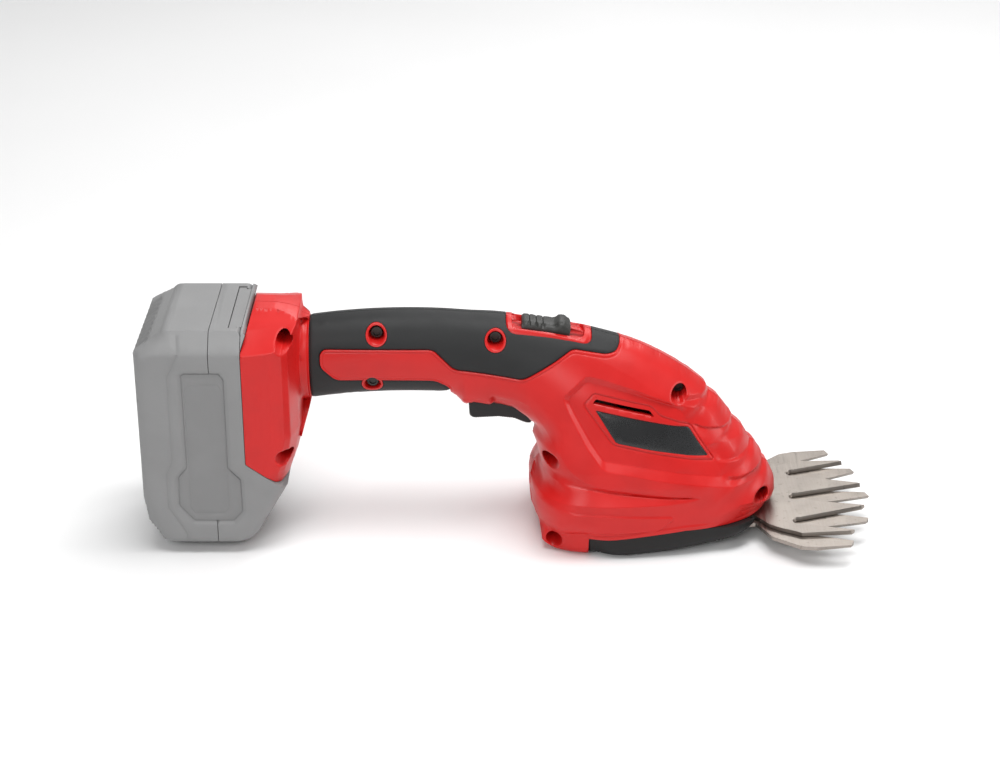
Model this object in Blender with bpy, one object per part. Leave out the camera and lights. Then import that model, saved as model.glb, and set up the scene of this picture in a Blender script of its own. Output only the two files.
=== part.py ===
"""Cordless grass and shrub shears with a comb blade, an arched handle and a slide-on battery.

+X points forward to the blades, -Y is the tool's right side and +Z is up. The tool rests as it
stands on a table, on the battery's base and on the flat of the sole. The origin is on the floor,
midway between the battery's back and the tip of the longest tooth.
"""
import math

import bmesh
import bpy
import numpy as np
from mathutils import Matrix, Vector
from mathutils.geometry import delaunay_2d_cdt

MM = 0.001

# Gaps and walls
GAP = 0.3 * MM
SEAM = 0.15 * MM
WALL = 4.0 * MM
RUNNING = 0.3 * MM

# Handle, an arched oval tube
HANDLE_BACK = -94.0 * MM
HANDLE_FRONT = -25.0 * MM
HANDLE_CROWN_X = -45.0 * MM
HANDLE_CROWN_Z = 94.9 * MM
HANDLE_ARC = 333.0 * MM
HANDLE_HALF_HEIGHT = 21.5 * MM
HANDLE_HALF_WIDTH = 16.0 * MM

# Head, the housing over motor and blades
HEAD_BACK = 14.8 * MM
HEAD_BLEND = (-20.0 * MM, 45.0 * MM)
UPPER_HALF_WIDTH = 41.0 * MM
BASE_STEP = 3.5 * MM
NOSE_TIP = 139.9 * MM
NOSE_ROUND = 53.0 * MM

# Sole, the black cover below the blades
SOLE_BACK = 44.0 * MM
SOLE_FRONT = 131.0 * MM
SOLE_WALL = 2.2 * MM
FLAT_END = 63.0 * MM

# Battery foot at the back of the handle
FOOT_BACK = -124.5 * MM
FOOT_FRONT = -98.0 * MM
FOOT_HALF_WIDTH = 38.0 * MM
FOOT_TOP = 120.6 * MM
FOOT_SHOULDER = 108.6 * MM
FOOT_ROOF_HALF = 8.7 * MM
FOOT_ROOF_LEAN = 4.0 * MM
FOOT_ROOF_FALL = 1.2 * MM

# Battery pack
BATTERY_BACK = -176.5 * MM
BATTERY_TOP = 117.7 * MM
BATTERY_HALF_WIDTH = 38.0 * MM
BATTERY_SPLIT = -140.0 * MM
BATTERY_WALL = 2.2 * MM
CELL_RADIUS = 9.0 * MM
CELL_LENGTH = 65.0 * MM
CELL_ROWS = 5
CELL_COLUMNS = 2
CELL_BOTTOM = 20.0 * MM
RAIL_DEPTH = 6.0 * MM
RAIL_HALF_WIDTH = 26.0 * MM
RAIL_BOTTOM = 56.0 * MM
RAIL_TOP = 117.0 * MM

# Rubber grip laid into the shells
GRIP_THICKNESS = 1.8 * MM
GRIP_FRONT = 59.0 * MM

# Blade plane, tipped up at the nose; u runs forward, v sideways and n up from the blade pivot
PIVOT_X = 112.0 * MM
PIVOT_Z = 8.67 * MM
BLADE_PITCH = math.radians(3.7)
BLADE_THICKNESS = 2.0 * MM
TOOTH_REACH = 76.7 * MM
BLADE_SWING = math.radians(7.6)
BLADE_REST = math.radians(-2.9)
PIVOT_RADIUS = 4.0 * MM

# Drive
CRANK_BACK = 30.0 * MM
CRANK_PIN_RADIUS = 2.0 * MM
MOTOR_BACK = 32.0 * MM
PINION_TEETH, IDLER_TEETH, MODULE_FAST = 10, 34, 0.8 * MM
IDLER_PINION_TEETH, CRANK_TEETH, MODULE_SLOW = 12, 36, 1.0 * MM
MESH_SLACK = 0.15 * MM
CASE_WALL = 2.0 * MM
CASE_BOTTOM = 4.0 * MM
CASE_TOP = 23.0 * MM
COVER_THICKNESS = 2.5 * MM
MOTOR_RADIUS = 16.5 * MM
MOTOR_LENGTH = 50.0 * MM
SHAFT_RADIUS = 1.6 * MM

# Housing screws: place in the side view
SCREW_PLACES = {
    "foot_top": (-104.1 * MM, 111.5 * MM),
    "foot_bottom": (-106.0 * MM, 52.0 * MM),
    "handle_back": (-60.5 * MM, 107.6 * MM),
    "handle_low": (-63.0 * MM, 81.5 * MM),
    "handle_front": (-2.3 * MM, 105.0 * MM),
    "head_top": (88.0 * MM, 78.5 * MM),
    "head_back": (25.0 * MM, 47.2 * MM),
    "nose": (131.0 * MM, 23.5 * MM),
    "base_back": (27.0 * MM, 7.0 * MM),
}
SCREW_SEAT = 6.0 * MM
SCREW_HEAD_RADIUS = 3.3 * MM
SCREW_HEAD_HEIGHT = 2.2 * MM
SCREW_RADIUS = 1.5 * MM
SCREW_REACH = 6.5 * MM
WELL_RADIUS = 4.0 * MM
BOSS_RADIUS = 4.4 * MM
COLLAR_RADIUS = 5.2 * MM

# Trigger and lock slide
TRIGGER_HALF_WIDTH = 7.0 * MM
TRIGGER_PIVOT = (12.0 * MM, 70.0 * MM)
SLIDE_X, SLIDE_Z = 24.0 * MM, 110.6 * MM
SLIDE_TILT = math.radians(11.3)
SLIDE_TRAVEL = 5.0 * MM
RECESS_HALF_WIDTH = 9.0 * MM

TIP_X = (PIVOT_X + TOOTH_REACH * math.cos(BLADE_PITCH)
         + (SEAM + BLADE_THICKNESS) * math.sin(BLADE_PITCH))
ORIGIN_SHIFT = -(BATTERY_BACK + TIP_X) / 2


def mm(*points):
    """Points written in millimetres, as an array in metres."""
    return np.array(points, dtype=float) * MM


# Scene set-up

def clear_scene():
    for item in list(bpy.data.objects):
        bpy.data.objects.remove(item, do_unlink=True)


def make_material(name, colour, roughness, metallic=0.0):
    material = bpy.data.materials.new(name)
    material.use_nodes = True
    shader = material.node_tree.nodes["Principled BSDF"]
    shader.inputs["Base Color"].default_value = (*colour, 1.0)
    shader.inputs["Roughness"].default_value = roughness
    shader.inputs["Metallic"].default_value = metallic
    material.diffuse_color = (*colour, 1.0)
    return material


def make_empty(name, location, rotation=(0.0, 0.0, 0.0), parent=None):
    empty = bpy.data.objects.new(name, None)
    empty.empty_display_size = 0.01
    empty.location = location
    empty.rotation_euler = rotation
    empty.parent = parent
    bpy.context.scene.collection.objects.link(empty)
    return empty


def make_object(name, mesh, parent, material=None):
    item = bpy.data.objects.new(name, mesh)
    item.parent = parent
    bpy.context.scene.collection.objects.link(item)
    if material is not None:
        mesh.materials.clear()
        mesh.materials.append(material)
    return item


def mesh_from(vertices, faces):
    mesh = bpy.data.meshes.new("shape")
    mesh.from_pydata([tuple(v) for v in vertices], [], [tuple(f) for f in faces])
    tidy_mesh(mesh)
    return mesh


def tidy_mesh(mesh):
    """Point every face outwards."""
    edit = bmesh.new()
    edit.from_mesh(mesh)
    bmesh.ops.remove_doubles(edit, verts=edit.verts, dist=1e-7)
    bmesh.ops.recalc_face_normals(edit, faces=edit.faces)
    edit.to_mesh(mesh)
    edit.free()
    mesh.update()


def shade(item, angle=35.0):
    item.data.shade_smooth()
    item.data.set_sharp_from_angle(angle=math.radians(angle))


def boolean(target, tool, operation="DIFFERENCE", keep=False):
    """Apply one exact Boolean and drop the tool."""
    modifier = target.modifiers.new("shape", "BOOLEAN")
    modifier.operation = operation
    modifier.solver = "EXACT"
    modifier.object = tool
    bpy.context.view_layer.update()
    graph = bpy.context.evaluated_depsgraph_get()
    result = bpy.data.meshes.new_from_object(target.evaluated_get(graph))
    target.modifiers.clear()
    edit = bmesh.new()
    edit.from_mesh(result)
    bmesh.ops.remove_doubles(edit, verts=edit.verts, dist=3e-6)
    bmesh.ops.dissolve_degenerate(edit, edges=edit.edges, dist=1e-6)
    edit.to_mesh(result)
    edit.free()
    target.data = result
    if not keep:
        bpy.data.objects.remove(tool, do_unlink=True)


def copy_of(item):
    twin = item.copy()
    twin.data = item.data.copy()
    bpy.context.scene.collection.objects.link(twin)
    return twin


# Basic solids

def prism_mesh(outline, low, high, axis="Y"):
    """Extrude a closed outline along Y (outline in X, Z) or along Z (outline in X, Y)."""
    count = len(outline)
    rings = []
    for level in (low, high):
        for a, b in outline:
            rings.append((a, level, b) if axis == "Y" else (a, b, level))
    faces = [[i, (i + 1) % count, count + (i + 1) % count, count + i] for i in range(count)]
    faces.append(list(range(count)))
    faces.append(list(range(count, 2 * count)))
    return mesh_from(rings, faces)


def box_mesh(low, high):
    outline = [(low[0], low[1]), (high[0], low[1]), (high[0], high[1]), (low[0], high[1])]
    return prism_mesh(outline, low[2], high[2], "Z")


def circle(radius, centre=(0.0, 0.0), sides=24, start=0.0):
    turn = 2 * math.pi / sides
    return [(centre[0] + radius * math.cos(start + turn * i), centre[1] + radius * math.sin(start + turn * i))
            for i in range(sides)]


def cylinder_mesh(radius, low, high, centre=(0.0, 0.0), axis="Z", sides=24):
    return prism_mesh(circle(radius, centre, sides), low, high, axis)


def turned_mesh(profile, sides=24):
    """Revolve (radius, height) points about Z. A closed ring profile gives a tube."""
    solid = profile[0][0] < 1e-9
    vertices, faces, rows = [], [], []
    for radius, height in profile:
        if radius < 1e-9:
            rows.append([len(vertices)] * sides)
            vertices.append((0.0, 0.0, height))
            continue
        rows.append([len(vertices) + i for i in range(sides)])
        for i in range(sides):
            angle = 2 * math.pi * i / sides
            vertices.append((radius * math.cos(angle), radius * math.sin(angle), height))
    pairs = list(zip(rows, rows[1:])) if solid else list(zip(rows, rows[1:] + rows[:1]))
    for lower, upper in pairs:
        for i in range(sides):
            j = (i + 1) % sides
            corners = []
            for corner in (lower[i], lower[j], upper[j], upper[i]):
                if corner not in corners:
                    corners.append(corner)
            if len(corners) > 2:
                faces.append(corners)
    return mesh_from(vertices, faces)


def tube_object(name, points, radius, parent, material, resolution=1):
    """A round wire through the points, as one closed tube."""
    curve = bpy.data.curves.new(name, "CURVE")
    curve.dimensions = "3D"
    curve.bevel_depth = radius
    curve.bevel_resolution = resolution
    curve.use_fill_caps = True
    spline = curve.splines.new("POLY")
    spline.points.add(len(points) - 1)
    for point, place in zip(spline.points, points):
        point.co = (*place, 1.0)
    spline.use_smooth = True
    curve.materials.append(material)
    item = bpy.data.objects.new(name, curve)
    item.parent = parent
    bpy.context.scene.collection.objects.link(item)
    return item


def coil_points(radius, low, high, turns, steps=8):
    """A helix about Z that starts and ends flat."""
    count = int(turns * steps)
    points = []
    for i in range(count + 1):
        share = i / count
        angle = 2 * math.pi * turns * share
        points.append((radius * math.cos(angle), radius * math.sin(angle), low + (high - low) * share))
    return points


def hull_outline(circles, sides=24):
    """Convex outline round several circles, anticlockwise."""
    points = sorted({(round(x, 9), round(y, 9)) for x0, y0, r in circles for x, y in circle(r, (x0, y0), sides)})

    def half(ordered):
        chain = []
        for p in ordered:
            while len(chain) > 1:
                (ax, ay), (bx, by) = chain[-2], chain[-1]
                if (bx - ax) * (p[1] - ay) - (by - ay) * (p[0] - ax) > 0:
                    break
                chain.pop()
            chain.append(p)
        return chain[:-1]

    return half(points) + half(points[::-1])


# Smooth lines and rounded edges

def spline_line(knots, step):
    """Catmull-Rom curve through the knots, resampled at an even step."""
    knots = np.asarray(knots, dtype=float)
    ends = np.vstack([2 * knots[0] - knots[1], knots, 2 * knots[-1] - knots[-2]])
    fine = []
    for i in range(len(knots) - 1):
        a, b, c, d = ends[i:i + 4]
        for t in np.linspace(0.0, 1.0, 12, endpoint=False):
            fine.append(0.5 * (2 * b + (c - a) * t + (2 * a - 5 * b + 4 * c - d) * t ** 2
                               + (3 * b - a - 3 * c + d) * t ** 3))
    fine.append(knots[-1])
    return even_line(np.array(fine), step)


def even_line(line, step):
    lengths = np.concatenate([[0.0], np.cumsum(np.linalg.norm(np.diff(line, axis=0), axis=1))])
    count = max(1, int(round(lengths[-1] / step)))
    places = np.linspace(0.0, lengths[-1], count + 1)
    return np.column_stack([np.interp(places, lengths, line[:, k]) for k in (0, 1)])


def smoothstep(low, high, value):
    t = np.clip((value - low) / (high - low), 0.0, 1.0)
    return t * t * (3 - 2 * t)


def rounded(distance, radius, power=2.0):
    """Share of the full half width at a distance in from an edge."""
    t = np.clip(distance / radius, 0.0, 1.0)
    return (1.0 - (1.0 - t) ** power) ** (1.0 / power)


def smooth_max(a, b, size):
    reach = np.minimum(size, 2 * np.maximum(np.minimum(a, b), 1e-9))
    return np.maximum(a, b) + np.maximum(reach - np.abs(a - b), 0.0) ** 2 / (4 * reach)


def line_distance(points, line):
    start, end = line[:-1], line[1:]
    run = end - start
    square = np.maximum((run ** 2).sum(axis=1), 1e-18)
    offset = points[:, None, :] - start[None]
    share = np.clip((offset * run[None]).sum(axis=2) / square[None], 0.0, 1.0)
    nearest = offset - share[..., None] * run[None]
    return np.sqrt((nearest ** 2).sum(axis=2).min(axis=1))


# Side-view lines of the housing

def handle_edge(side, x):
    """Height of the handle's top (side 1) or underside (side -1)."""
    return HANDLE_CROWN_Z - (x - HANDLE_CROWN_X) ** 2 / (2 * HANDLE_ARC) + side * HANDLE_HALF_HEIGHT


def handle_line(side, start, end, count=6):
    x = np.linspace(start, end, count)
    return np.column_stack([x, handle_edge(side, x)])


HEAD_TOP = mm((0, handle_edge(1, -15 * MM) / MM - 0.85), (25, 110.6), (49, 104.8), (69.4, 98.0), (89.6, 86.8),
              (103.5, 75.6), (115, 61.7), (127.4, 45.8), (134.6, 34.5), (139.0, 25.5), (NOSE_TIP / MM, 19.8))
NOSE_LOWER = mm((NOSE_TIP / MM, 19.8), (138.8, 16.0), (136.0, 14.0))
NOSE_BELOW = mm((137.0, 10.0), (134.0, 0.0))
SOLE_EDGE = mm((126, 14.0), (113, 14.3), (92, 14.7), (67.4, 12.3), (SOLE_BACK / MM, 10.2))
SOLE_BOTTOM = mm((SOLE_BACK / MM, 0), (FLAT_END / MM, 0), (90, 2.2), (112, 4.4), (120, 5.1), (127, 6.0),
                 (SOLE_FRONT / MM, 7.4))
BASE_REAR = mm((36, 0), (28, 1.6), (21, 5.6), (16.4, 12.2), (HEAD_BACK / MM, 21.5), (HEAD_BACK / MM, 29.5),
               (16.8, 32.9), (20.3, 37.5))
UPPER_REAR = mm((20.3, 37.5), (19.8, 39.8), (17.2, 48.8), (15.1, 53.3))
TRIGGER_MOUTH = mm((15.1, 53.3), (17.0, 58.0), (12.5, 64.4), (6.5, 68.4), (-14.2, 70.3), (-16.9, 65.9),
                   (-18.6, 65.2), (-22.6, handle_edge(-1, HANDLE_FRONT) / MM - 2.2))
FOOT_FRONT_LINE = mm((-97.0, handle_edge(-1, HANDLE_BACK) / MM - 9.8), (-100.5, 47.6), (-104.0, 36.8))
FOOT_SLOPE_END = mm((-124.5, 49.6))[0]
LEDGE_UPPER = mm((20.3, 37.5), (26, 38.5), (42, 36.8), (59, 34.0), (83, 31.5), (100, 31.0))
LEDGE_LOWER = mm((HEAD_BACK / MM, 30.4), (19, 30.4), (32, 30.1), (50, 29.2), (83, 29.2), (100, 29.2))

HANDLE_TOP = handle_line(1, HANDLE_BACK, -15.0 * MM)
HANDLE_UNDER = handle_line(-1, HANDLE_FRONT, HANDLE_BACK)
TOP_LINE = spline_line(np.vstack([HANDLE_TOP, HEAD_TOP]), 3.0 * MM)
TOP_FIELD_LINE = np.vstack([handle_line(1, FOOT_BACK, HANDLE_BACK - 3 * MM, 3), TOP_LINE, NOSE_LOWER,
                            NOSE_BELOW])
UNDER_FIELD_LINE = np.vstack([TRIGGER_MOUTH, HANDLE_UNDER, handle_line(-1, HANDLE_BACK, FOOT_BACK, 3)])
REAR_FIELD_LINE = np.vstack([TRIGGER_MOUTH[1:2], UPPER_REAR[::-1], mm((20.3, 20))])


def body_half_width(x, z, inset=0.0):
    """Half width of the housing at a point of its side view, drawn in by an inset."""
    points = np.column_stack([x, z])
    blend = smoothstep(*HEAD_BLEND, x)
    head_width = np.interp(z, mm(0, 30, 37, 45, 60, 80, 100, 116),
                           np.append([UPPER_HALF_WIDTH] * 3, mm(39.5, 34.5, 28, 21, 17)))
    full = HANDLE_HALF_WIDTH + (head_width - HANDLE_HALF_WIDTH) * blend - inset
    head_round = np.interp(z, mm(20, 40, 60, 80, 100), np.append([NOSE_ROUND], mm(46, 37, 29, 24)))
    top_round = HANDLE_HALF_HEIGHT + (head_round - HANDLE_HALF_HEIGHT) * blend
    from_top = line_distance(points, TOP_FIELD_LINE) - inset
    top_share = rounded(from_top, top_round - inset)

    from_under = line_distance(points, UNDER_FIELD_LINE) - inset
    mouth = smoothstep(-21 * MM, -15 * MM, x)
    under_round = HANDLE_HALF_HEIGHT + (14 * MM - HANDLE_HALF_HEIGHT) * mouth
    under_share = 0.55 * mouth + (1 - 0.55 * mouth) * rounded(from_under, under_round - inset)

    rear_x = np.interp(z, UPPER_REAR[:, 1], UPPER_REAR[:, 0])
    behind = (x < rear_x) & (z < UPPER_REAR[-1, 1])
    from_rear = np.where(behind, 0.0, line_distance(points, REAR_FIELD_LINE) - inset)
    upper = full * top_share * under_share * rounded(from_rear, 16 * MM - inset, 2.6)

    from_base = line_distance(points, BASE_REAR) - inset
    step = BASE_STEP * (1 - smoothstep(55 * MM, 100 * MM, x))
    base = (UPPER_HALF_WIDTH + step - inset) * rounded(from_base, 17 * MM - inset, 3.0) * top_share
    ledge_top = np.interp(x, LEDGE_UPPER[:, 0], LEDGE_UPPER[:, 1])
    ledge_low = np.interp(x, LEDGE_LOWER[:, 0], LEDGE_LOWER[:, 1])
    share = np.clip((ledge_top - z) / (ledge_top - ledge_low), 0.0, 1.0)
    share = np.where(x > 0.0, share, 0.0)
    head = upper + (np.maximum(base, upper) - upper) * share

    floor = np.interp(x, SOLE_BOTTOM[:, 0], SOLE_BOTTOM[:, 1])
    from_floor = z - floor - inset
    bow = smoothstep(105 * MM, SOLE_FRONT, x)
    flat = 0.86 - 0.5 * bow
    floor_share = flat + (1 - flat) * rounded(from_floor, 6 * MM + 4 * MM * bow)
    head = head * np.where(x > 0.0, floor_share, 1.0)

    fall = FOOT_ROOF_FALL * (x - FOOT_BACK) / (FOOT_FRONT - FOOT_BACK)
    foot_width = np.interp(z + fall, [FOOT_SHOULDER, FOOT_TOP], [FOOT_HALF_WIDTH, FOOT_ROOF_HALF]) - inset
    front_x = np.interp(z, mm(36.8, 47.6, 62, 125), np.append(mm(-104, -100.5), [FOOT_FRONT] * 2)) - inset
    flare = (FOOT_HALF_WIDTH - inset) * rounded(front_x - x, 13 * MM, 2.6)
    foot = np.where(x < front_x, np.minimum(foot_width, flare), 0.0)
    return smooth_max(head, np.maximum(foot, 0.0), 4 * MM)


def housing_outline():
    """Closed side view of the red shells; the flag says which points are open to the sole."""
    slope_end = FOOT_SLOPE_END
    parts = [
        (even_line(np.vstack([FOOT_FRONT_LINE[::-1], HANDLE_UNDER[-1:]])[::-1], 9 * MM), 1),
        (mm((-107.5, 37.3)), 1),
        (even_line(np.vstack([slope_end, [FOOT_BACK, FOOT_SHOULDER]]), 16 * MM), 1),
        (np.array([[FOOT_BACK + FOOT_ROOF_LEAN, FOOT_TOP], [FOOT_FRONT - 1 * MM, FOOT_TOP - FOOT_ROOF_FALL],
                   [FOOT_FRONT + 0.5 * MM, 115.5 * MM]]), 1),
        (even_line(TOP_LINE, 8 * MM), 1),
        (NOSE_LOWER[1:], 1),
        (even_line(SOLE_EDGE, 12 * MM), -1),
        (mm((SOLE_BACK / MM, 0)), 1),
        (spline_line(BASE_REAR, 4.6 * MM), 1),
        (UPPER_REAR[1:], 1),
        (TRIGGER_MOUTH[1:], 1),
        (even_line(HANDLE_UNDER, 10 * MM)[:-1], 1),
    ]
    points = np.vstack([p for p, _ in parts])
    flags = np.concatenate([[flag] * len(p) for p, flag in parts])
    return points, flags


def inset_outline(points, flags, inset, outset=4 * MM):
    """Draw a closed outline in; stretches flagged -1 move out, which leaves them open."""
    count = len(points)
    area = 0.5 * sum(points[i][0] * points[(i + 1) % count][1] - points[(i + 1) % count][0] * points[i][1]
                     for i in range(count))
    turn = 1.0 if area > 0 else -1.0
    walls = [np.array([points[i], points[(i + 1) % count]]) for i in range(count)
             if flags[i] > 0 and flags[(i + 1) % count] > 0]
    kept = []
    for i in range(count):
        before, here, after = points[i - 1], points[i], points[(i + 1) % count]
        d1 = (here - before) / np.linalg.norm(here - before)
        d2 = (after - here) / np.linalg.norm(after - here)
        n1, n2 = turn * np.array([-d1[1], d1[0]]), turn * np.array([-d2[1], d2[0]])
        normal = n1 + n2
        normal = normal / max(np.linalg.norm(normal), 1e-9)
        miter = 1.0 / max(0.5, float(normal @ n1))
        move = inset if flags[i] > 0 else -outset
        spot = here + normal * move * miter
        if flags[i] > 0:
            nearest = min(line_distance(spot[None], wall)[0] for wall in walls)
            if nearest < inset - 0.06 * MM:
                continue
        kept.append(spot)
    return np.array(kept)


def inside_outline(points, outline):
    inside = np.zeros(len(points), dtype=bool)
    x, z = points[:, 0], points[:, 1]
    for (x1, z1), (x2, z2) in zip(outline, np.roll(outline, -1, axis=0)):
        crosses = (z1 > z) != (z2 > z)
        with np.errstate(divide="ignore", invalid="ignore"):
            where = x1 + (z - z1) * (x2 - x1) / (z2 - z1)
        inside ^= crosses & (x < where)
    return inside


def ribbon_points(outline, distance, spacing):
    """Points a set distance in from the outline, one for each of its corners where there is room."""
    closed = np.vstack([outline, outline[:1]])
    ahead, back = np.roll(outline, -1, axis=0) - outline, outline - np.roll(outline, 1, axis=0)
    ahead = ahead / np.linalg.norm(ahead, axis=1)[:, None]
    back = back / np.linalg.norm(back, axis=1)[:, None]
    run = ahead + back
    normal = np.column_stack([-run[:, 1], run[:, 0]])
    normal = normal / np.maximum(np.linalg.norm(normal, axis=1), 1e-9)[:, None]
    x, z = outline[:, 0], outline[:, 1]
    if (x * np.roll(z, -1) - np.roll(x, -1) * z).sum() < 0:
        normal = -normal
    spots = outline + normal * distance
    keep = inside_outline(spots, outline) & (line_distance(spots, closed) > 0.93 * distance)
    chosen = []
    for spot in spots[keep]:
        if all(np.linalg.norm(spot - other) > spacing for other in chosen[-3:] + chosen[:1]):
            chosen.append(spot)
    return np.array(chosen).reshape(-1, 2)


def triangulated(outline, features=(), rows=(), grid=9 * MM, placed_points=()):
    """Triangles over an outline: ribbons of points along its edge, given points, and a plain grid."""
    closed = np.vstack([outline, outline[:1]])
    fixed = np.array(placed_points).reshape(-1, 2)
    if len(fixed):
        fixed = fixed[inside_outline(fixed, outline) & (line_distance(fixed, closed) > 0.8 * MM)]
    extra = [ribbon_points(outline, distance, spacing) for distance, spacing in rows]
    low, high = outline.min(axis=0), outline.max(axis=0)
    mesh_x, mesh_z = np.meshgrid(np.arange(low[0], high[0], grid), np.arange(low[1], high[1], grid * 0.87))
    mesh_x = mesh_x + (np.arange(mesh_x.shape[0]) % 2)[:, None] * grid / 2
    spots = np.column_stack([mesh_x.ravel(), mesh_z.ravel()])
    last = rows[-1][0] if rows else 0.0
    keep = inside_outline(spots, outline) & (line_distance(spots, closed) > last + grid * 0.45)
    extra.append(spots[keep])
    extra = np.vstack(extra)
    if len(fixed):
        apart = np.linalg.norm(extra[:, None] - fixed[None], axis=2).min(axis=1)
        inside_block = (extra[:, 0] < fixed[:, 0].max()) & (extra[:, 1] > fixed[:, 1].min())
        extra = extra[(apart > 3 * MM) & ~inside_block]
        extra = np.vstack([extra, fixed])
    for line in features:
        extra = extra[line_distance(extra, np.asarray(line)) > 1.5 * MM]
    count = len(outline)
    points = [Vector(p) for p in outline]
    edges = [(i, (i + 1) % count) for i in range(count)]
    for line in features:
        start = len(points)
        points += [Vector(p) for p in line]
        edges += [(start + i, start + i + 1) for i in range(len(line) - 1)]
    points += [Vector(p) for p in extra]
    result = delaunay_2d_cdt(points, edges, [], 1, 1e-7)
    return np.array([tuple(v) for v in result[0]]), [tuple(f) for f in result[2]]


def foot_points(inset=0.0):
    """Columns of points that follow the rounded front of the battery foot."""
    points = []
    for z in np.linspace(42 * MM, FOOT_TOP - 2.5 * MM, 10):
        front = np.interp(z, mm(36.8, 47.6, 62, 125), np.append(mm(-104, -100.5), [FOOT_FRONT] * 2)) - inset
        for back in mm(0.15, 0.9, 2.3, 5.0, 8.5, 13.0, 19.0):
            points.append((front - back, z))
    return points


def lifted_mesh(outline, width, back, features=(), rows=(), grid=9 * MM, both=False, placed_points=()):
    """A solid whose flank follows width(x, z) on the -Y side.

    The other side is flat at y = back, or mirrors the flank when both is set.
    """
    flat, triangles = triangulated(outline, features, rows, grid, placed_points)
    half = np.maximum(width(flat[:, 0], flat[:, 1]), 0.0)
    vertices = [(x, -max(w, -back if not both else 0.0), z) for (x, z), w in zip(flat, half)]
    mirror = []
    sides = {}
    for tri in triangles:
        for i in range(3):
            sides.setdefault(frozenset((tri[i], tri[(i + 1) % 3])), []).append(tri)
    rim = {v for edge, users in sides.items() if len(users) == 1 for v in edge}
    for i, ((x, z), w) in enumerate(zip(flat, half)):
        depth = w if both else back
        if i in rim and (w + back if not both else w) < 0.02 * MM:
            mirror.append(i)
        else:
            mirror.append(len(vertices))
            vertices.append((x, depth, z))
    faces = [tuple(t) for t in triangles]
    faces += [tuple(mirror[v] for v in reversed(t)) for t in triangles]
    for edge, users in sides.items():
        if len(users) == 1:
            a, b = tuple(edge)
            corners = []
            for v in (a, b, mirror[b], mirror[a]):
                if v not in corners:
                    corners.append(v)
            if len(corners) > 2:
                faces.append(tuple(corners))
    return mesh_from(vertices, faces)


# Regions of the side view

GRIP_REGION = mm((-93.5, 126), (GRIP_FRONT / MM, 126), (GRIP_FRONT / MM, 101), (57, 98.6), (52.4, 98),
                 (35.5, 101.2), (11.1, 86.9), (-22.4, 90.3), (-32.7, 100.9), (-86.5, 100.9), (-88.5, 98.5),
                 (-88.5, 92), (-80.9, 84.3), (-31.9, 83.7), (-25.1, 79.1), (-24, 60), (-93.5, 60))
PANEL_REGION = mm((31.2, 80.7), (41.9, 92.2), (79.3, 79.3), (113.4, 38.8), (51.4, 45.1))
VENT_REGION = mm((47.0, 79.0), (71.5, 73.4), (73.5, 70.6), (46.0, 76.4))
PANEL_DEPTH = 0.7 * MM
SLIDE_FRONT = 11.0 * MM
RECESS_REACH = SLIDE_FRONT + SLIDE_TRAVEL + 2.2 * MM
FRAME_BLOCK = (SLIDE_X - RECESS_REACH - 2.8 * MM, SLIDE_X + RECESS_REACH + 2.8 * MM)
OUTSIDE = 70 * MM
EDGE_ROWS = ((1.2 * MM, 3.0 * MM), (4.5 * MM, 4.0 * MM), (10.5 * MM, 6.0 * MM))
INNER_ROWS = ((1.5 * MM, 6.0 * MM), (7.0 * MM, 8.0 * MM))


def grown(outline, amount):
    """Move a closed outline outwards."""
    outline = np.asarray(outline)
    return inset_outline(outline, np.full(len(outline), -1), 0.0, amount)


def grip_outline(amount=0.0):
    return grown(GRIP_REGION, amount) if amount else GRIP_REGION


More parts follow.
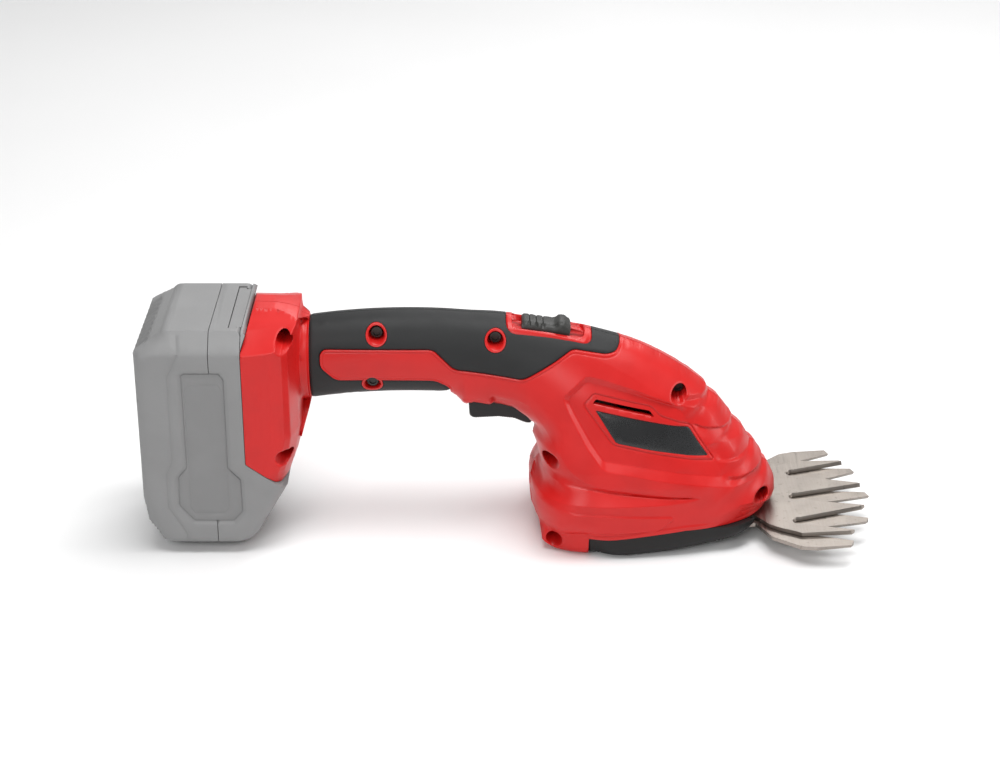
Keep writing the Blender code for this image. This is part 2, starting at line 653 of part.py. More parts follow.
class Housing:
    """The two red shells with their rubber grips, cut from one smooth body."""

    def __init__(self, frame, drive, slide, red, rubber):
        self.frame, self.drive, self.slide = frame, drive, slide
        self.red, self.rubber = red, rubber
        self.outline, self.flags = housing_outline()

    def half(self, inset, back, rows, grid, draw_in=0.0):
        outline = inset_outline(self.outline, self.flags, inset) if inset else self.outline
        features = []
        if not inset:
            features = [LEDGE_UPPER[1:] + mm((-0.5, 0)), LEDGE_LOWER[1:]]
        mesh = lifted_mesh(outline, lambda x, z: body_half_width(x, z, inset), back, features, rows, grid,
                           placed_points=foot_points(inset))
        if draw_in:
            shrink(mesh, draw_in, back)
        return make_object("half", mesh, self.frame)

    def add(self, mesh, parent=None):
        return make_object("tool", mesh, parent or self.frame)

    def band(self, region, depth, draw_in=0.0):
        """The skin of the -Y side over a region, down to a depth."""
        slab = self.add(prism_mesh(region, -OUTSIDE, 1 * MM))
        core = self.half(depth, 2 * MM, INNER_ROWS, 14 * MM, draw_in)
        boolean(slab, core)
        return slab

    def screw_cylinders(self, radius, low, high):
        return [self.add(cylinder_mesh(radius, low, high, place, "Y", 12)) for place in SCREW_PLACES.values()]

    def frame_block(self, amount):
        low = (FRAME_BLOCK[0] - amount, -RECESS_HALF_WIDTH - 2 * MM - amount, SLIDE_Z - 16 * MM)
        high = (FRAME_BLOCK[1] + amount, OUTSIDE, SLIDE_Z + 16 * MM)
        return self.add(box_mesh(low, high))

    def inner_space(self):
        """The hollow of one half, less its ribs and screw bosses."""
        space = self.half(WALL, 1 * MM, INNER_ROWS, 18 * MM)
        for boss in self.screw_cylinders(BOSS_RADIUS + 0.8 * MM, -OUTSIDE, 2 * MM):
            boolean(space, boss)
        pivot = cylinder_mesh(BOSS_RADIUS, -OUTSIDE, -TRIGGER_HALF_WIDTH - 0.7 * MM, TRIGGER_PIVOT, "Y", 16)
        boolean(space, self.add(pivot))
        tub = box_mesh((-21 * MM, -12 * MM, -6.7 * MM), (21 * MM, 3 * MM, 9 * MM))
        boolean(space, self.add(tub, self.slide))
        stop = box_mesh((15.3 * MM, -4 * MM, -15 * MM), (17.8 * MM, 3 * MM, -6 * MM))
        boolean(space, self.add(stop, self.slide))
        for x in SWITCH_RIBS:
            rib = box_mesh((x, -OUTSIDE, 79 * MM), (x + 2.5 * MM, -SWITCH_HALF_WIDTH - GAP, 90 * MM))
            boolean(space, self.add(rib))
        for level in (CASE_TOP + 8 * MM, CASE_TOP + MOTOR_LENGTH - 10 * MM):
            rib = box_mesh((MOTOR_U - 12 * MM, -OUTSIDE, level), (MOTOR_U + 12 * MM, -6 * MM, level + 2.5 * MM))
            boolean(space, self.add(rib, self.drive))
        for u in (MOTOR_U - 8 * MM, CRANK_U - 9 * MM):
            rib = box_mesh((u, -OUTSIDE, CASE_BOTTOM + 1 * MM), (u + 2.5 * MM, -8 * MM, CASE_TOP - 2 * MM))
            boolean(space, self.add(rib, self.drive))
        return space

    def drive_room(self, item):
        """Clear the space of the gear case and the motor out of a shell."""
        case = prism_mesh(case_outline(GAP), CASE_BOTTOM - GAP, CASE_TOP + GAP, "Z")
        boolean(item, self.add(case, self.drive))
        motor = cylinder_mesh(MOTOR_RADIUS + GAP, CASE_TOP, MOTOR_TOP + GAP, (MOTOR_U, 0.0))
        boolean(item, self.add(motor, self.drive))

    def build(self):
        right = self.half(0.0, -SEAM, EDGE_ROWS, 13 * MM)
        outer = copy_of(right)
        boolean(right, self.inner_space())
        for low, high, parent in (
            ((-RECESS_REACH, -RECESS_HALF_WIDTH, -4.2 * MM), (RECESS_REACH, 5 * MM, 14 * MM), self.slide),
            ((-3.5 * MM, -2.9 * MM, -16 * MM), (8.8 * MM, 5 * MM, -2 * MM), self.slide),
            ((-16.8 * MM, -TRIGGER_HALF_WIDTH - GAP, 50 * MM), (17.6 * MM, 5 * MM, 76.5 * MM), self.frame),
            ((FOOT_BACK - 3 * MM, -8 * MM, 78 * MM), (FOOT_BACK + 6 * MM, 5 * MM, 92 * MM), self.frame),
        ):
            boolean(right, self.add(box_mesh(low, high), parent))
        boolean(right, self.band(PANEL_REGION, PANEL_DEPTH))
        boolean(right, self.add(prism_mesh(VENT_REGION, -OUTSIDE, -8 * MM)))
        left = self.mirrored(right)

        bed = self.band(grip_outline(GAP), GRIP_THICKNESS, GAP)
        boolean(bed, self.frame_block(0.0))
        boolean(left, self.mirrored(bed))
        for collar in self.screw_cylinders(COLLAR_RADIUS, -OUTSIDE, 2 * MM):
            boolean(bed, collar)
        boolean(right, bed)
        boolean(outer, self.add(prism_mesh(grip_outline(), -OUTSIDE, 1 * MM)), "INTERSECT")
        boolean(outer, self.half(GRIP_THICKNESS, 2 * MM, INNER_ROWS, 14 * MM))
        boolean(outer, self.frame_block(GAP))
        right_grip, left_grip = outer, self.mirrored(outer)
        for collar in self.screw_cylinders(COLLAR_RADIUS + GAP, -OUTSIDE, 2 * MM):
            boolean(right_grip, collar)

        for tool in self.screw_cylinders(WELL_RADIUS, -OUTSIDE, -SCREW_SEAT):
            boolean(right, tool)
        for tool in self.screw_cylinders(SCREW_RADIUS + RUNNING, -OUTSIDE, 2 * MM):
            boolean(right, tool)
        for tool in self.screw_cylinders(SCREW_RADIUS + RUNNING, -2 * MM, SCREW_REACH + 0.5 * MM):
            boolean(left, tool)
        reach = TRIGGER_HALF_WIDTH + 4.6 * MM
        for shell in (right, left):
            pin = cylinder_mesh(PIN_RADIUS + RUNNING, -reach, reach, TRIGGER_PIVOT, "Y", 16)
            boolean(shell, self.add(pin))
            self.drive_room(shell)
        for item, name, material in (
            (right, "right_shell", self.red), (left, "left_shell", self.red),
            (right_grip, "right_grip", self.rubber), (left_grip, "left_grip", self.rubber),
        ):
            item.name = name
            keep_body(item)
            item.data.materials.clear()
            item.data.materials.append(material)
            shade(item)

    def mirrored(self, item):
        twin = copy_of(item)
        twin.data.transform(Matrix.Diagonal((1.0, -1.0, 1.0, 1.0)))
        twin.data.flip_normals()
        return twin


def shrink(mesh, distance, back):
    """Move every vertex inwards; those on the flat back stay in its plane."""
    edit = bmesh.new()
    edit.from_mesh(mesh)
    edit.normal_update()
    moves = []
    for vertex in edit.verts:
        normal = vertex.normal.copy()
        if abs(vertex.co.y - back) < 1e-6:
            normal.y = 0.0
            normal.normalize()
        moves.append(normal * -distance)
    for vertex, move in zip(edit.verts, moves):
        vertex.co += move
    edit.to_mesh(mesh)
    edit.free()


def keep_body(item):
    """Weld the shape and drop any crumb that a cut left loose."""
    edit = bmesh.new()
    edit.from_mesh(item.data)
    bmesh.ops.remove_doubles(edit, verts=edit.verts, dist=1e-7)
    edit.verts.ensure_lookup_table()
    seen, groups = set(), []
    for vertex in edit.verts:
        if vertex in seen:
            continue
        group, stack = [], [vertex]
        seen.add(vertex)
        while stack:
            here = stack.pop()
            group.append(here)
            for edge in here.link_edges:
                other = edge.other_vert(here)
                if other not in seen:
                    seen.add(other)
                    stack.append(other)
        groups.append(group)
    groups.sort(key=len)
    if len(groups) > 1:
        print("crumbs dropped from", item.name, [len(g) for g in groups[:-1]])
    for group in groups[:-1]:
        bmesh.ops.delete(edit, geom=group, context="VERTS")
    edit.to_mesh(item.data)
    edit.free()


def make_screw(name, place, parent, material, seat, reach, turn):
    """Pan-head screw along Y (turn 90 degrees) or along the drive's n (turn 0)."""
    slot = 0.6 * SCREW_HEAD_RADIUS
    profile = [(0, seat - SCREW_HEAD_HEIGHT + 0.8 * MM), (slot, seat - SCREW_HEAD_HEIGHT + 0.8 * MM),
               (slot, seat - SCREW_HEAD_HEIGHT), (SCREW_HEAD_RADIUS * 0.85, seat - SCREW_HEAD_HEIGHT),
               (SCREW_HEAD_RADIUS, seat - 0.7 * SCREW_HEAD_HEIGHT), (SCREW_HEAD_RADIUS, seat),
               (SCREW_RADIUS, seat), (SCREW_RADIUS, reach - 1.2 * MM), (0, reach)]
    item = make_object(name, turned_mesh(profile, 10), parent, material)
    item.location = place
    item.rotation_euler = (turn, 0.0, 0.0)
    shade(item)
    return item


# Drive, in the blade frame

MOTOR_U = -(CRANK_BACK + MOTOR_BACK)
CRANK_U = -CRANK_BACK
MOTOR_TOP = CASE_TOP + MOTOR_LENGTH + 6.3 * MM
CRANK_OFFSET = CRANK_BACK * math.sin(BLADE_SWING)
CRANK_REST = math.asin(math.sin(-BLADE_REST) / math.sin(BLADE_SWING))
PINION_R, IDLER_R = PINION_TEETH * MODULE_FAST / 2, IDLER_TEETH * MODULE_FAST / 2
IDLER_PINION_R, CRANK_R = IDLER_PINION_TEETH * MODULE_SLOW / 2, CRANK_TEETH * MODULE_SLOW / 2
FAST_CENTRES = PINION_R + IDLER_R + MESH_SLACK
SLOW_CENTRES = IDLER_PINION_R + CRANK_R + MESH_SLACK
IDLER_ALONG = (FAST_CENTRES ** 2 - SLOW_CENTRES ** 2 + MOTOR_BACK ** 2) / (2 * MOTOR_BACK)
IDLER_U = MOTOR_U + IDLER_ALONG
IDLER_V = -math.sqrt(FAST_CENTRES ** 2 - IDLER_ALONG ** 2)
ADDENDUM, DEDENDUM = 0.85, 1.15
PIN_RADIUS = 1.5 * MM
HUB_RADIUS = 6.6 * MM
BUSH_WALL = 2.6 * MM
GEAR_LOW, GEAR_HIGH = 8.0 * MM, 14.0 * MM
FAST_LOW, FAST_HIGH = 15.0 * MM, 19.0 * MM
PEG_U, PEG_V = -6.0 * MM, 22.0 * MM
POST_U, POST_V = -60.0 * MM, 12.0 * MM
SWITCH_HALF_WIDTH = 8.0 * MM
SWITCH_RIBS = (-11.0 * MM, 8.5 * MM)
SWITCH_LOW, SWITCH_HIGH = 77.0 * MM, 91.0 * MM
BUTTON_X = -3.5 * MM
TRIGGER_SPRING_X = -10.3 * MM


def case_outline(amount=0.0):
    crank = (CRANK_U, 0.0, CRANK_R + ADDENDUM * MODULE_SLOW + 0.7 * MM + CASE_WALL + amount)
    idler = (IDLER_U, IDLER_V, IDLER_R + ADDENDUM * MODULE_FAST + 0.7 * MM + CASE_WALL + amount)
    motor = (MOTOR_U, 0.0, MOTOR_RADIUS + 0.5 * MM + amount)
    return hull_outline([crank, idler, motor], 32)


def gear_outline(teeth, module, start=0.0):
    """Straight-flanked teeth with backlash; the first tooth points along the start angle."""
    root = (teeth / 2 - DEDENDUM) * module
    tip = (teeth / 2 + ADDENDUM) * module
    pitch = 2 * math.pi / teeth
    outline = []
    for tooth in range(teeth):
        middle = start + tooth * pitch
        for radius, share in ((root, -0.31), (tip, -0.12), (tip, 0.12), (root, 0.31)):
            angle = middle + share * pitch
            outline.append((radius * math.cos(angle), radius * math.sin(angle)))
    return outline


def placed(outline, u, v):
    return [(x + u, y + v) for x, y in outline]


def make_gears(drive, steel, brass):
    toward_idler = math.atan2(IDLER_V, IDLER_U - MOTOR_U)
    toward_crank = math.atan2(-IDLER_V, CRANK_U - IDLER_U)
    idler_half_pitch = math.pi / IDLER_TEETH
    crank_half_pitch = math.pi / CRANK_TEETH

    rotor = make_object("rotor", turned_mesh([
        (0, GEAR_LOW + 6 * MM), (SHAFT_RADIUS, GEAR_LOW + 6 * MM), (SHAFT_RADIUS, 32 * MM), (5 * MM, 32 * MM),
        (5 * MM, 34 * MM), (12.6 * MM, 34 * MM), (12.6 * MM, 60 * MM), (5 * MM, 60 * MM), (5 * MM, 69 * MM),
        (SHAFT_RADIUS, 69 * MM), (SHAFT_RADIUS, MOTOR_TOP - 2.5 * MM), (0, MOTOR_TOP - 2.5 * MM)], 16),
        drive, steel)
    rotor.location = (MOTOR_U, 0, 0)
    shade(rotor)

    pinion = make_object("motor_pinion", prism_mesh(
        placed(gear_outline(PINION_TEETH, MODULE_FAST, toward_idler), 0, 0),
        FAST_LOW - 0.4 * MM, FAST_HIGH + 0.4 * MM, "Z"), drive, brass)
    pinion.location = (MOTOR_U, 0, 0)
    bore = make_object("tool", cylinder_mesh(SHAFT_RADIUS + 0.05 * MM, 0, 40 * MM, (0, 0), "Z", 16), drive)
    bore.location = (MOTOR_U, 0, 0)
    boolean(pinion, bore)

    idler = make_object("idler_gear", prism_mesh(
        gear_outline(IDLER_TEETH, MODULE_FAST, toward_idler + math.pi + idler_half_pitch),
        FAST_LOW, FAST_HIGH, "Z"), drive, steel)
    small = make_object("tool", prism_mesh(
        gear_outline(IDLER_PINION_TEETH, MODULE_SLOW, toward_crank), GEAR_LOW - 0.8 * MM,
        FAST_LOW + 0.5 * MM, "Z"), drive)
    boolean(idler, small, "UNION")
    boolean(idler, make_object("tool", cylinder_mesh(2 * MM + RUNNING, 0, 40 * MM, (0, 0), "Z", 16), drive))
    idler.location = (IDLER_U, IDLER_V, 0)

    crank = make_object("crank_gear", prism_mesh(
        gear_outline(CRANK_TEETH, MODULE_SLOW, toward_crank + math.pi + crank_half_pitch),
        GEAR_LOW, GEAR_HIGH, "Z"), drive, steel)
    pin_place = (CRANK_OFFSET * math.cos(CRANK_REST), CRANK_OFFSET * math.sin(CRANK_REST))
    for radius, low, high, place in ((HUB_RADIUS, 3.0 * MM, GEAR_LOW + 1 * MM, (0, 0)),
                                     (CRANK_PIN_RADIUS, 0.45 * MM, 4.0 * MM, pin_place),
                                     (3 * MM, GEAR_HIGH - 1 * MM, CASE_TOP - 0.5 * MM, (0, 0))):
        boolean(crank, make_object("tool", cylinder_mesh(radius, low, high, place, "Z", 20), drive), "UNION")
    crank.location = (CRANK_U, 0, 0)
    for gear in (pinion, idler, crank):
        gear.data.materials.clear()
        gear.data.materials.append(brass if gear is pinion else steel)
        shade(gear, 25)

    idler_pin = make_object("idler_pin", cylinder_mesh(2 * MM, CASE_BOTTOM + COVER_THICKNESS + GAP,
                                                       CASE_TOP - 0.6 * MM, (0, 0), "Z", 16), drive, steel)
    idler_pin.location = (IDLER_U, IDLER_V, 0)
    shade(idler_pin)


def make_gear_case(drive, black, steel, brass):
    low = CASE_BOTTOM + COVER_THICKNESS + GAP
    case = make_object("gear_case", prism_mesh(case_outline(), low, CASE_TOP, "Z"), drive, black)
    roof = CASE_TOP - 2.5 * MM
    room = prism_mesh(case_outline(-CASE_WALL), low - 1 * MM, roof, "Z")
    boolean(case, make_object("tool", room, drive))
    for radius, u, v in ((PINION_R + ADDENDUM * MODULE_FAST + 0.8 * MM, MOTOR_U, 0.0),
                         (3 * MM + RUNNING + BUSH_WALL + GAP, CRANK_U, 0.0), (2 * MM + GAP, IDLER_U, IDLER_V)):
        hole = cylinder_mesh(radius, roof - 2 * MM, CASE_TOP + 2 * MM, (u, v), "Z", 20)
        boolean(case, make_object("tool", hole, drive))
    shade(case)

    ears = [(PEG_U, side * PEG_V, 5 * MM) for side in (-1, 1)]
    rim = [(CRANK_U, 0.0, CRANK_R + 3.5 * MM), (IDLER_U, IDLER_V, IDLER_R + 3.4 * MM),
           (MOTOR_U, 0.0, MOTOR_RADIUS + 0.5 * MM)]
    cover = make_object("gear_cover", prism_mesh(hull_outline(rim + ears, 32), CASE_BOTTOM,
                                                 CASE_BOTTOM + COVER_THICKNESS, "Z"), drive, steel)
    for side in (-1, 1):
        for radius, bottom, u, v in ((4.5 * MM, GAP + 0.15 * MM, PEG_U, side * PEG_V),
                                     (2.2 * MM, -1.9 * MM, PEG_U, side * PEG_V),
                                     (4.0 * MM, -0.2 * MM, POST_U, side * POST_V)):
            peg = cylinder_mesh(radius, bottom, CASE_BOTTOM + 1 * MM, (u, v), "Z", 16)
            boolean(cover, make_object("tool", peg, drive), "UNION")
        pilot = cylinder_mesh(SCREW_RADIUS + RUNNING, -3 * MM, CASE_BOTTOM + COVER_THICKNESS + 1 * MM,
                              (POST_U, side * POST_V), "Z", 16)
        boolean(cover, make_object("tool", pilot, drive))
    for radius, u, v in ((11.0 * MM, 0.0, 0.0), (HUB_RADIUS + RUNNING + BUSH_WALL + GAP, CRANK_U, 0.0)):
        hole = cylinder_mesh(radius, 2 * MM, 10 * MM, (u, v), "Z", 24)
        boolean(cover, make_object("tool", hole, drive))
    cover.data.materials.clear()
    cover.data.materials.append(steel)
    shade(cover)

    for name, inner, bottom, top in (
        ("crank_bush", HUB_RADIUS + RUNNING, CASE_BOTTOM, CASE_BOTTOM + COVER_THICKNESS),
        ("crank_top_bush", 3 * MM + RUNNING, roof, CASE_TOP - 0.3 * MM),
    ):
        bush = make_object(name, turned_mesh([(inner, bottom), (inner + BUSH_WALL, bottom),
                                              (inner + BUSH_WALL, top), (inner, top)], 16), drive, brass)
        bush.location = (CRANK_U, 0, 0)
        shade(bush)


def make_motor(drive, steel, black, dark):
    bottom, wall = CASE_TOP + GAP, 1.2 * MM
    top = CASE_TOP + MOTOR_LENGTH
    can = make_object("motor_can", turned_mesh([
        (3 * MM, bottom), (MOTOR_RADIUS, bottom), (MOTOR_RADIUS, top), (MOTOR_RADIUS - wall, top),
        (MOTOR_RADIUS - wall, bottom + wall), (3 * MM, bottom + wall)], 20), drive, steel)
    can.location = (MOTOR_U, 0, 0)
    shade(can)
    cap = make_object("motor_end_cap", turned_mesh([
        (SHAFT_RADIUS + RUNNING, top + GAP), (MOTOR_RADIUS, top + GAP), (MOTOR_RADIUS, MOTOR_TOP - 2 * MM),
        (6 * MM, MOTOR_TOP - 2 * MM), (6 * MM, MOTOR_TOP), (SHAFT_RADIUS + RUNNING, MOTOR_TOP)], 20),
        drive, black)
    cap.location = (MOTOR_U, 0, 0)
    shade(cap)
    outer, inner = MOTOR_RADIUS - wall - GAP, MOTOR_RADIUS - wall - GAP - 1.9 * MM
    span = math.radians(66)
    for name, middle in (("magnet_front", 0.0), ("magnet_back", math.pi)):
        angles = [middle - span + 2 * span * i / 8 for i in range(9)]
        outline = [(outer * math.cos(a), outer * math.sin(a)) for a in angles]
        outline += [(inner * math.cos(a), inner * math.sin(a)) for a in reversed(angles)]
        magnet = make_object(name, prism_mesh(outline, CASE_TOP + 9 * MM, CASE_TOP + 38 * MM, "Z"), drive, dark)
        magnet.location = (MOTOR_U, 0, 0)
        shade(magnet)


# Blades: tips are (u, v, half width), gullets lie between neighbours

LOWER_TIPS = mm((62.5, -49.5, 2.2), (73.0, -27.0, 2.0), (TOOTH_REACH / MM, 0.0, 2.2), (73.0, 27.0, 2.0),
                (62.5, 49.5, 2.2))
UPPER_TIPS = mm((66.0, -37.5, 1.1), (73.2, -12.2, 1.1), (73.2, 12.2, 1.1), (66.0, 37.5, 1.1))
LOWER_GULLETS = mm((39.0, -35.5), (39.5, -10.6), (39.5, 10.6), (39.0, 35.5))
UPPER_GULLETS = mm((39.6, -25.8), (39.3, 0.0), (39.6, 25.8))
LOWER_GULLET_RADIUS = 2.4 * MM
UPPER_GULLET_RADIUS = 2.9 * MM
LOWER_SIDE = mm((-14.0, 26.0), (-12.0, 27.5), (3.0, 27.5), (8.0, 25.0), (16.5, 23.5), (23.2, 38.6), (36.7, 50.2),
                (44.0, 51.8))
UPPER_SIDE = mm((-13.0, 13.8), (-3.0, 15.5), (8.0, 16.5), (18.0, 19.6), (24.2, 28.5), (30.0, 33.0), (36.5, 36.6),
                (40.0, 38.8))
TIP_SKEW = 1.6 * MM


def turned(outline, angle):
    """The outline turned about the blade pivot."""
    cos, sin = math.cos(angle), math.sin(angle)
    return [(u * cos - v * sin, u * sin + v * cos) for u, v in outline]


def comb_outline(side, tips, gullets, gullet_radius, tail):
    """Closed plan of a comb blade: tail, near side, teeth, far side."""
    outline = list(tail)
    outline += [(u, -v) for u, v in side]
    for index, (u, v, half) in enumerate(tips):
        lean = -1.0 if v < 0 else 1.0
        outline.append((u - (TIP_SKEW if lean < 0 else 0.0), v - half))
        outline.append((u - (TIP_SKEW if lean > 0 else 0.0), v + half))
        if index < len(gullets):
            gu, gv = gullets[index]
            for angle in (-80, -120, 180, 120, 80):
                turn = math.radians(angle)
                outline.append((gu + gullet_radius * math.cos(turn), gv + gullet_radius * math.sin(turn)))
    outline += [(u, v) for u, v in reversed(side)]
    return outline


def make_blades(drive, steel, dark):
    lower = make_object("lower_blade", prism_mesh(
        comb_outline(LOWER_SIDE, LOWER_TIPS, LOWER_GULLETS, LOWER_GULLET_RADIUS, []),
        -SEAM - BLADE_THICKNESS, -SEAM, "Z"), drive, steel)
    tail_half = CRANK_OFFSET * 2 + CRANK_PIN_RADIUS + 0.4 * MM + 3.4 * MM
    tail_room = CRANK_OFFSET + CRANK_PIN_RADIUS + 0.7 * MM
    tail_end = CRANK_U - tail_room - 3.3 * MM
    tail = [(-13 * MM, 13.8 * MM), (tail_end + 3 * MM, tail_half), (tail_end, tail_half - 4 * MM),
            (tail_end, -tail_half + 4 * MM), (tail_end + 3 * MM, -tail_half)]
    plan = comb_outline(UPPER_SIDE, UPPER_TIPS, UPPER_GULLETS, UPPER_GULLET_RADIUS, tail[1:])
    upper = make_object("upper_blade", prism_mesh(turned(plan, BLADE_REST), SEAM, SEAM + BLADE_THICKNESS, "Z"),
                        drive, steel)
    window = [(CRANK_U + a * tail_room, b * (tail_half - 3.4 * MM))
              for a, b in ((-0.6, -1), (0.6, -1), (1, -0.7), (1, 0.7), (0.6, 1), (-0.6, 1), (-1, 0.7), (-1, -0.7))]
    boolean(upper, make_object("tool", prism_mesh(turned(window, BLADE_REST), -5 * MM, 5 * MM, "Z"), drive))
    for blade in (lower, upper):
        boolean(blade, make_object("tool", cylinder_mesh(PIVOT_RADIUS + RUNNING, -5 * MM, 5 * MM), drive))
    for side in (-1, 1):
        hole = cylinder_mesh(2.2 * MM + GAP, -5 * MM, 5 * MM, (PEG_U, side * PEG_V), "Z", 16)
        boolean(lower, make_object("tool", hole, drive))

    stack = SEAM + BLADE_THICKNESS + GAP
    nut_low = stack + 1.4 * MM + GAP
    for name, profile, sides, material in (
        ("blade_pivot", [(0, -SEAM - BLADE_THICKNESS), (PIVOT_RADIUS, -SEAM - BLADE_THICKNESS),
                         (PIVOT_RADIUS, nut_low + 5.2 * MM), (0, nut_low + 5.2 * MM)], 20, dark),
        ("spring_washer", [(PIVOT_RADIUS + GAP, stack), (8.5 * MM, stack), (8.5 * MM, stack + 1.4 * MM),
                           (PIVOT_RADIUS + GAP, stack + 1.4 * MM)], 16, steel),
    ):
        item = make_object(name, turned_mesh(profile, sides), drive, material)
        shade(item)
    nut = make_object("pivot_nut", cylinder_mesh(7.2 * MM, nut_low, nut_low + 4.2 * MM, sides=6), drive)
    boolean(nut, make_object("tool", cylinder_mesh(PIVOT_RADIUS + GAP, 0, 20 * MM, sides=20), drive))
    nut.data.materials.clear()
    nut.data.materials.append(dark)
    shade(nut)


# Sole

def make_sole(frame, drive, black):
    edge = SOLE_EDGE[::-1] - mm((0, GAP / MM))
    edge[0] = (SOLE_BACK + GAP, edge[0][1])
    bottom = SOLE_BOTTOM.copy()
    bottom[0][0] = SOLE_BACK + GAP
    outline = np.vstack([even_line(edge, 9 * MM), [[SOLE_FRONT, edge[-1][1]]],
                         even_line(bottom, 9 * MM)[::-1]])
    mesh = lifted_mesh(outline, body_half_width, 0.0, [], ((1.3 * MM, 4 * MM),), 9 * MM, both=True)
    sole = make_object("sole_cover", mesh, frame, black)
    inner_x = np.linspace(SOLE_BACK + GAP + SOLE_WALL, SOLE_FRONT - SOLE_WALL, 10)
    inner = np.column_stack([inner_x, np.interp(inner_x, bottom[:, 0], bottom[:, 1]) + SOLE_WALL])
    room = np.vstack([inner, [[inner[-1][0], 22 * MM], [inner[0][0], 22 * MM]]])
    mesh = lifted_mesh(room, lambda x, z: body_half_width(x, z, SOLE_WALL), 0.0, [], ((1.3 * MM, 6 * MM),),
                       11 * MM, both=True)
    boolean(sole, make_object("tool", mesh, frame))
    for low_u, high_u, half in ((-16 * MM, 6 * MM, 28.5 * MM), (5 * MM, 30 * MM, 26 * MM)):
        mouth = box_mesh((low_u, -half, -2.6 * MM), (high_u, half, 14 * MM))
        boolean(sole, make_object("tool", mouth, drive))
    case = prism_mesh(case_outline(GAP), CASE_BOTTOM - GAP, CASE_TOP, "Z")
    boolean(sole, make_object("tool", case, drive))
    for side in (-1, 1):
        place = (POST_U, side * POST_V)
        boss = make_object("tool", cylinder_mesh(5 * MM, -3.5 * MM, -0.5 * MM, place, "Z", 16), drive)
        boolean(sole, boss, "UNION")
        for radius, low, high in ((SCREW_HEAD_RADIUS + 0.4 * MM, -9 * MM, -2.4 * MM),
                                  (SCREW_RADIUS + RUNNING, -9 * MM, 2 * MM)):
            boolean(sole, make_object("tool", cylinder_mesh(radius, low, high, place, "Z", 16), drive))
    sole.data.materials.clear()
    sole.data.materials.append(black)
    keep_body(sole)
    shade(sole)


# Battery

BATTERY_SIDE = mm((-131, 0), (-125.4, 3.8), (-120, 9.5), (-104.8, 35.9), (-107.7, 37.0), (-124.8, 49.4),
                  (-124.8, 116.0), (-126.5, 117.7), (-162, 117.7), (-164, 116.7), (-176.5, 108.2),
                  (-176.5, 30), (-174.5, 17), (-166, 4.3), (-160, 0.6), (-157, 0))
BATTERY_ROOM = mm((-131.5, 2.2), (-128, 5.6), (-127, 9), (-127, 48), (-133, 52), (-133, 115.5), (-161.8, 115.5),
                  (-174.3, 107.0), (-174.3, 30.4), (-172.4, 18), (-165, 6.6), (-159.5, 2.9),
                  (-156, 2.2))
BATTERY_FRONT = FOOT_BACK - GAP
LATCH_FOOT, LATCH_HEAD = mm((-120, 9.5))[0], mm((-104.8, 35.9))[0]
LATCH_ALONG = 14.0 * MM
LATCH_TRAVEL = 2.5 * MM
BATTERY_BACK_LINE = mm((-164, 116.7), (-176.5, 108.2), (-176.5, 30), (-174.5, 17), (-166, 4.3), (-160, 0.6))
BATTERY_NOSE_LINE = mm((-125.4, 3.8), (-120, 9.5), (-104.8, 35.9))


def battery_half_width(x, z, inset=0.0):
    points = np.column_stack([x, z])
    full = np.interp(z, np.append(mm(0, 2.3, 7), [FOOT_SHOULDER, BATTERY_TOP]),
                     np.append(mm(26, 30), [BATTERY_HALF_WIDTH, BATTERY_HALF_WIDTH, 30 * MM]))
    back = 0.86 + 0.14 * rounded(line_distance(points, BATTERY_BACK_LINE), 5 * MM)
    nose = 0.79 + 0.21 * rounded(line_distance(points, BATTERY_NOSE_LINE), 7 * MM)
    return full * back * nose - inset


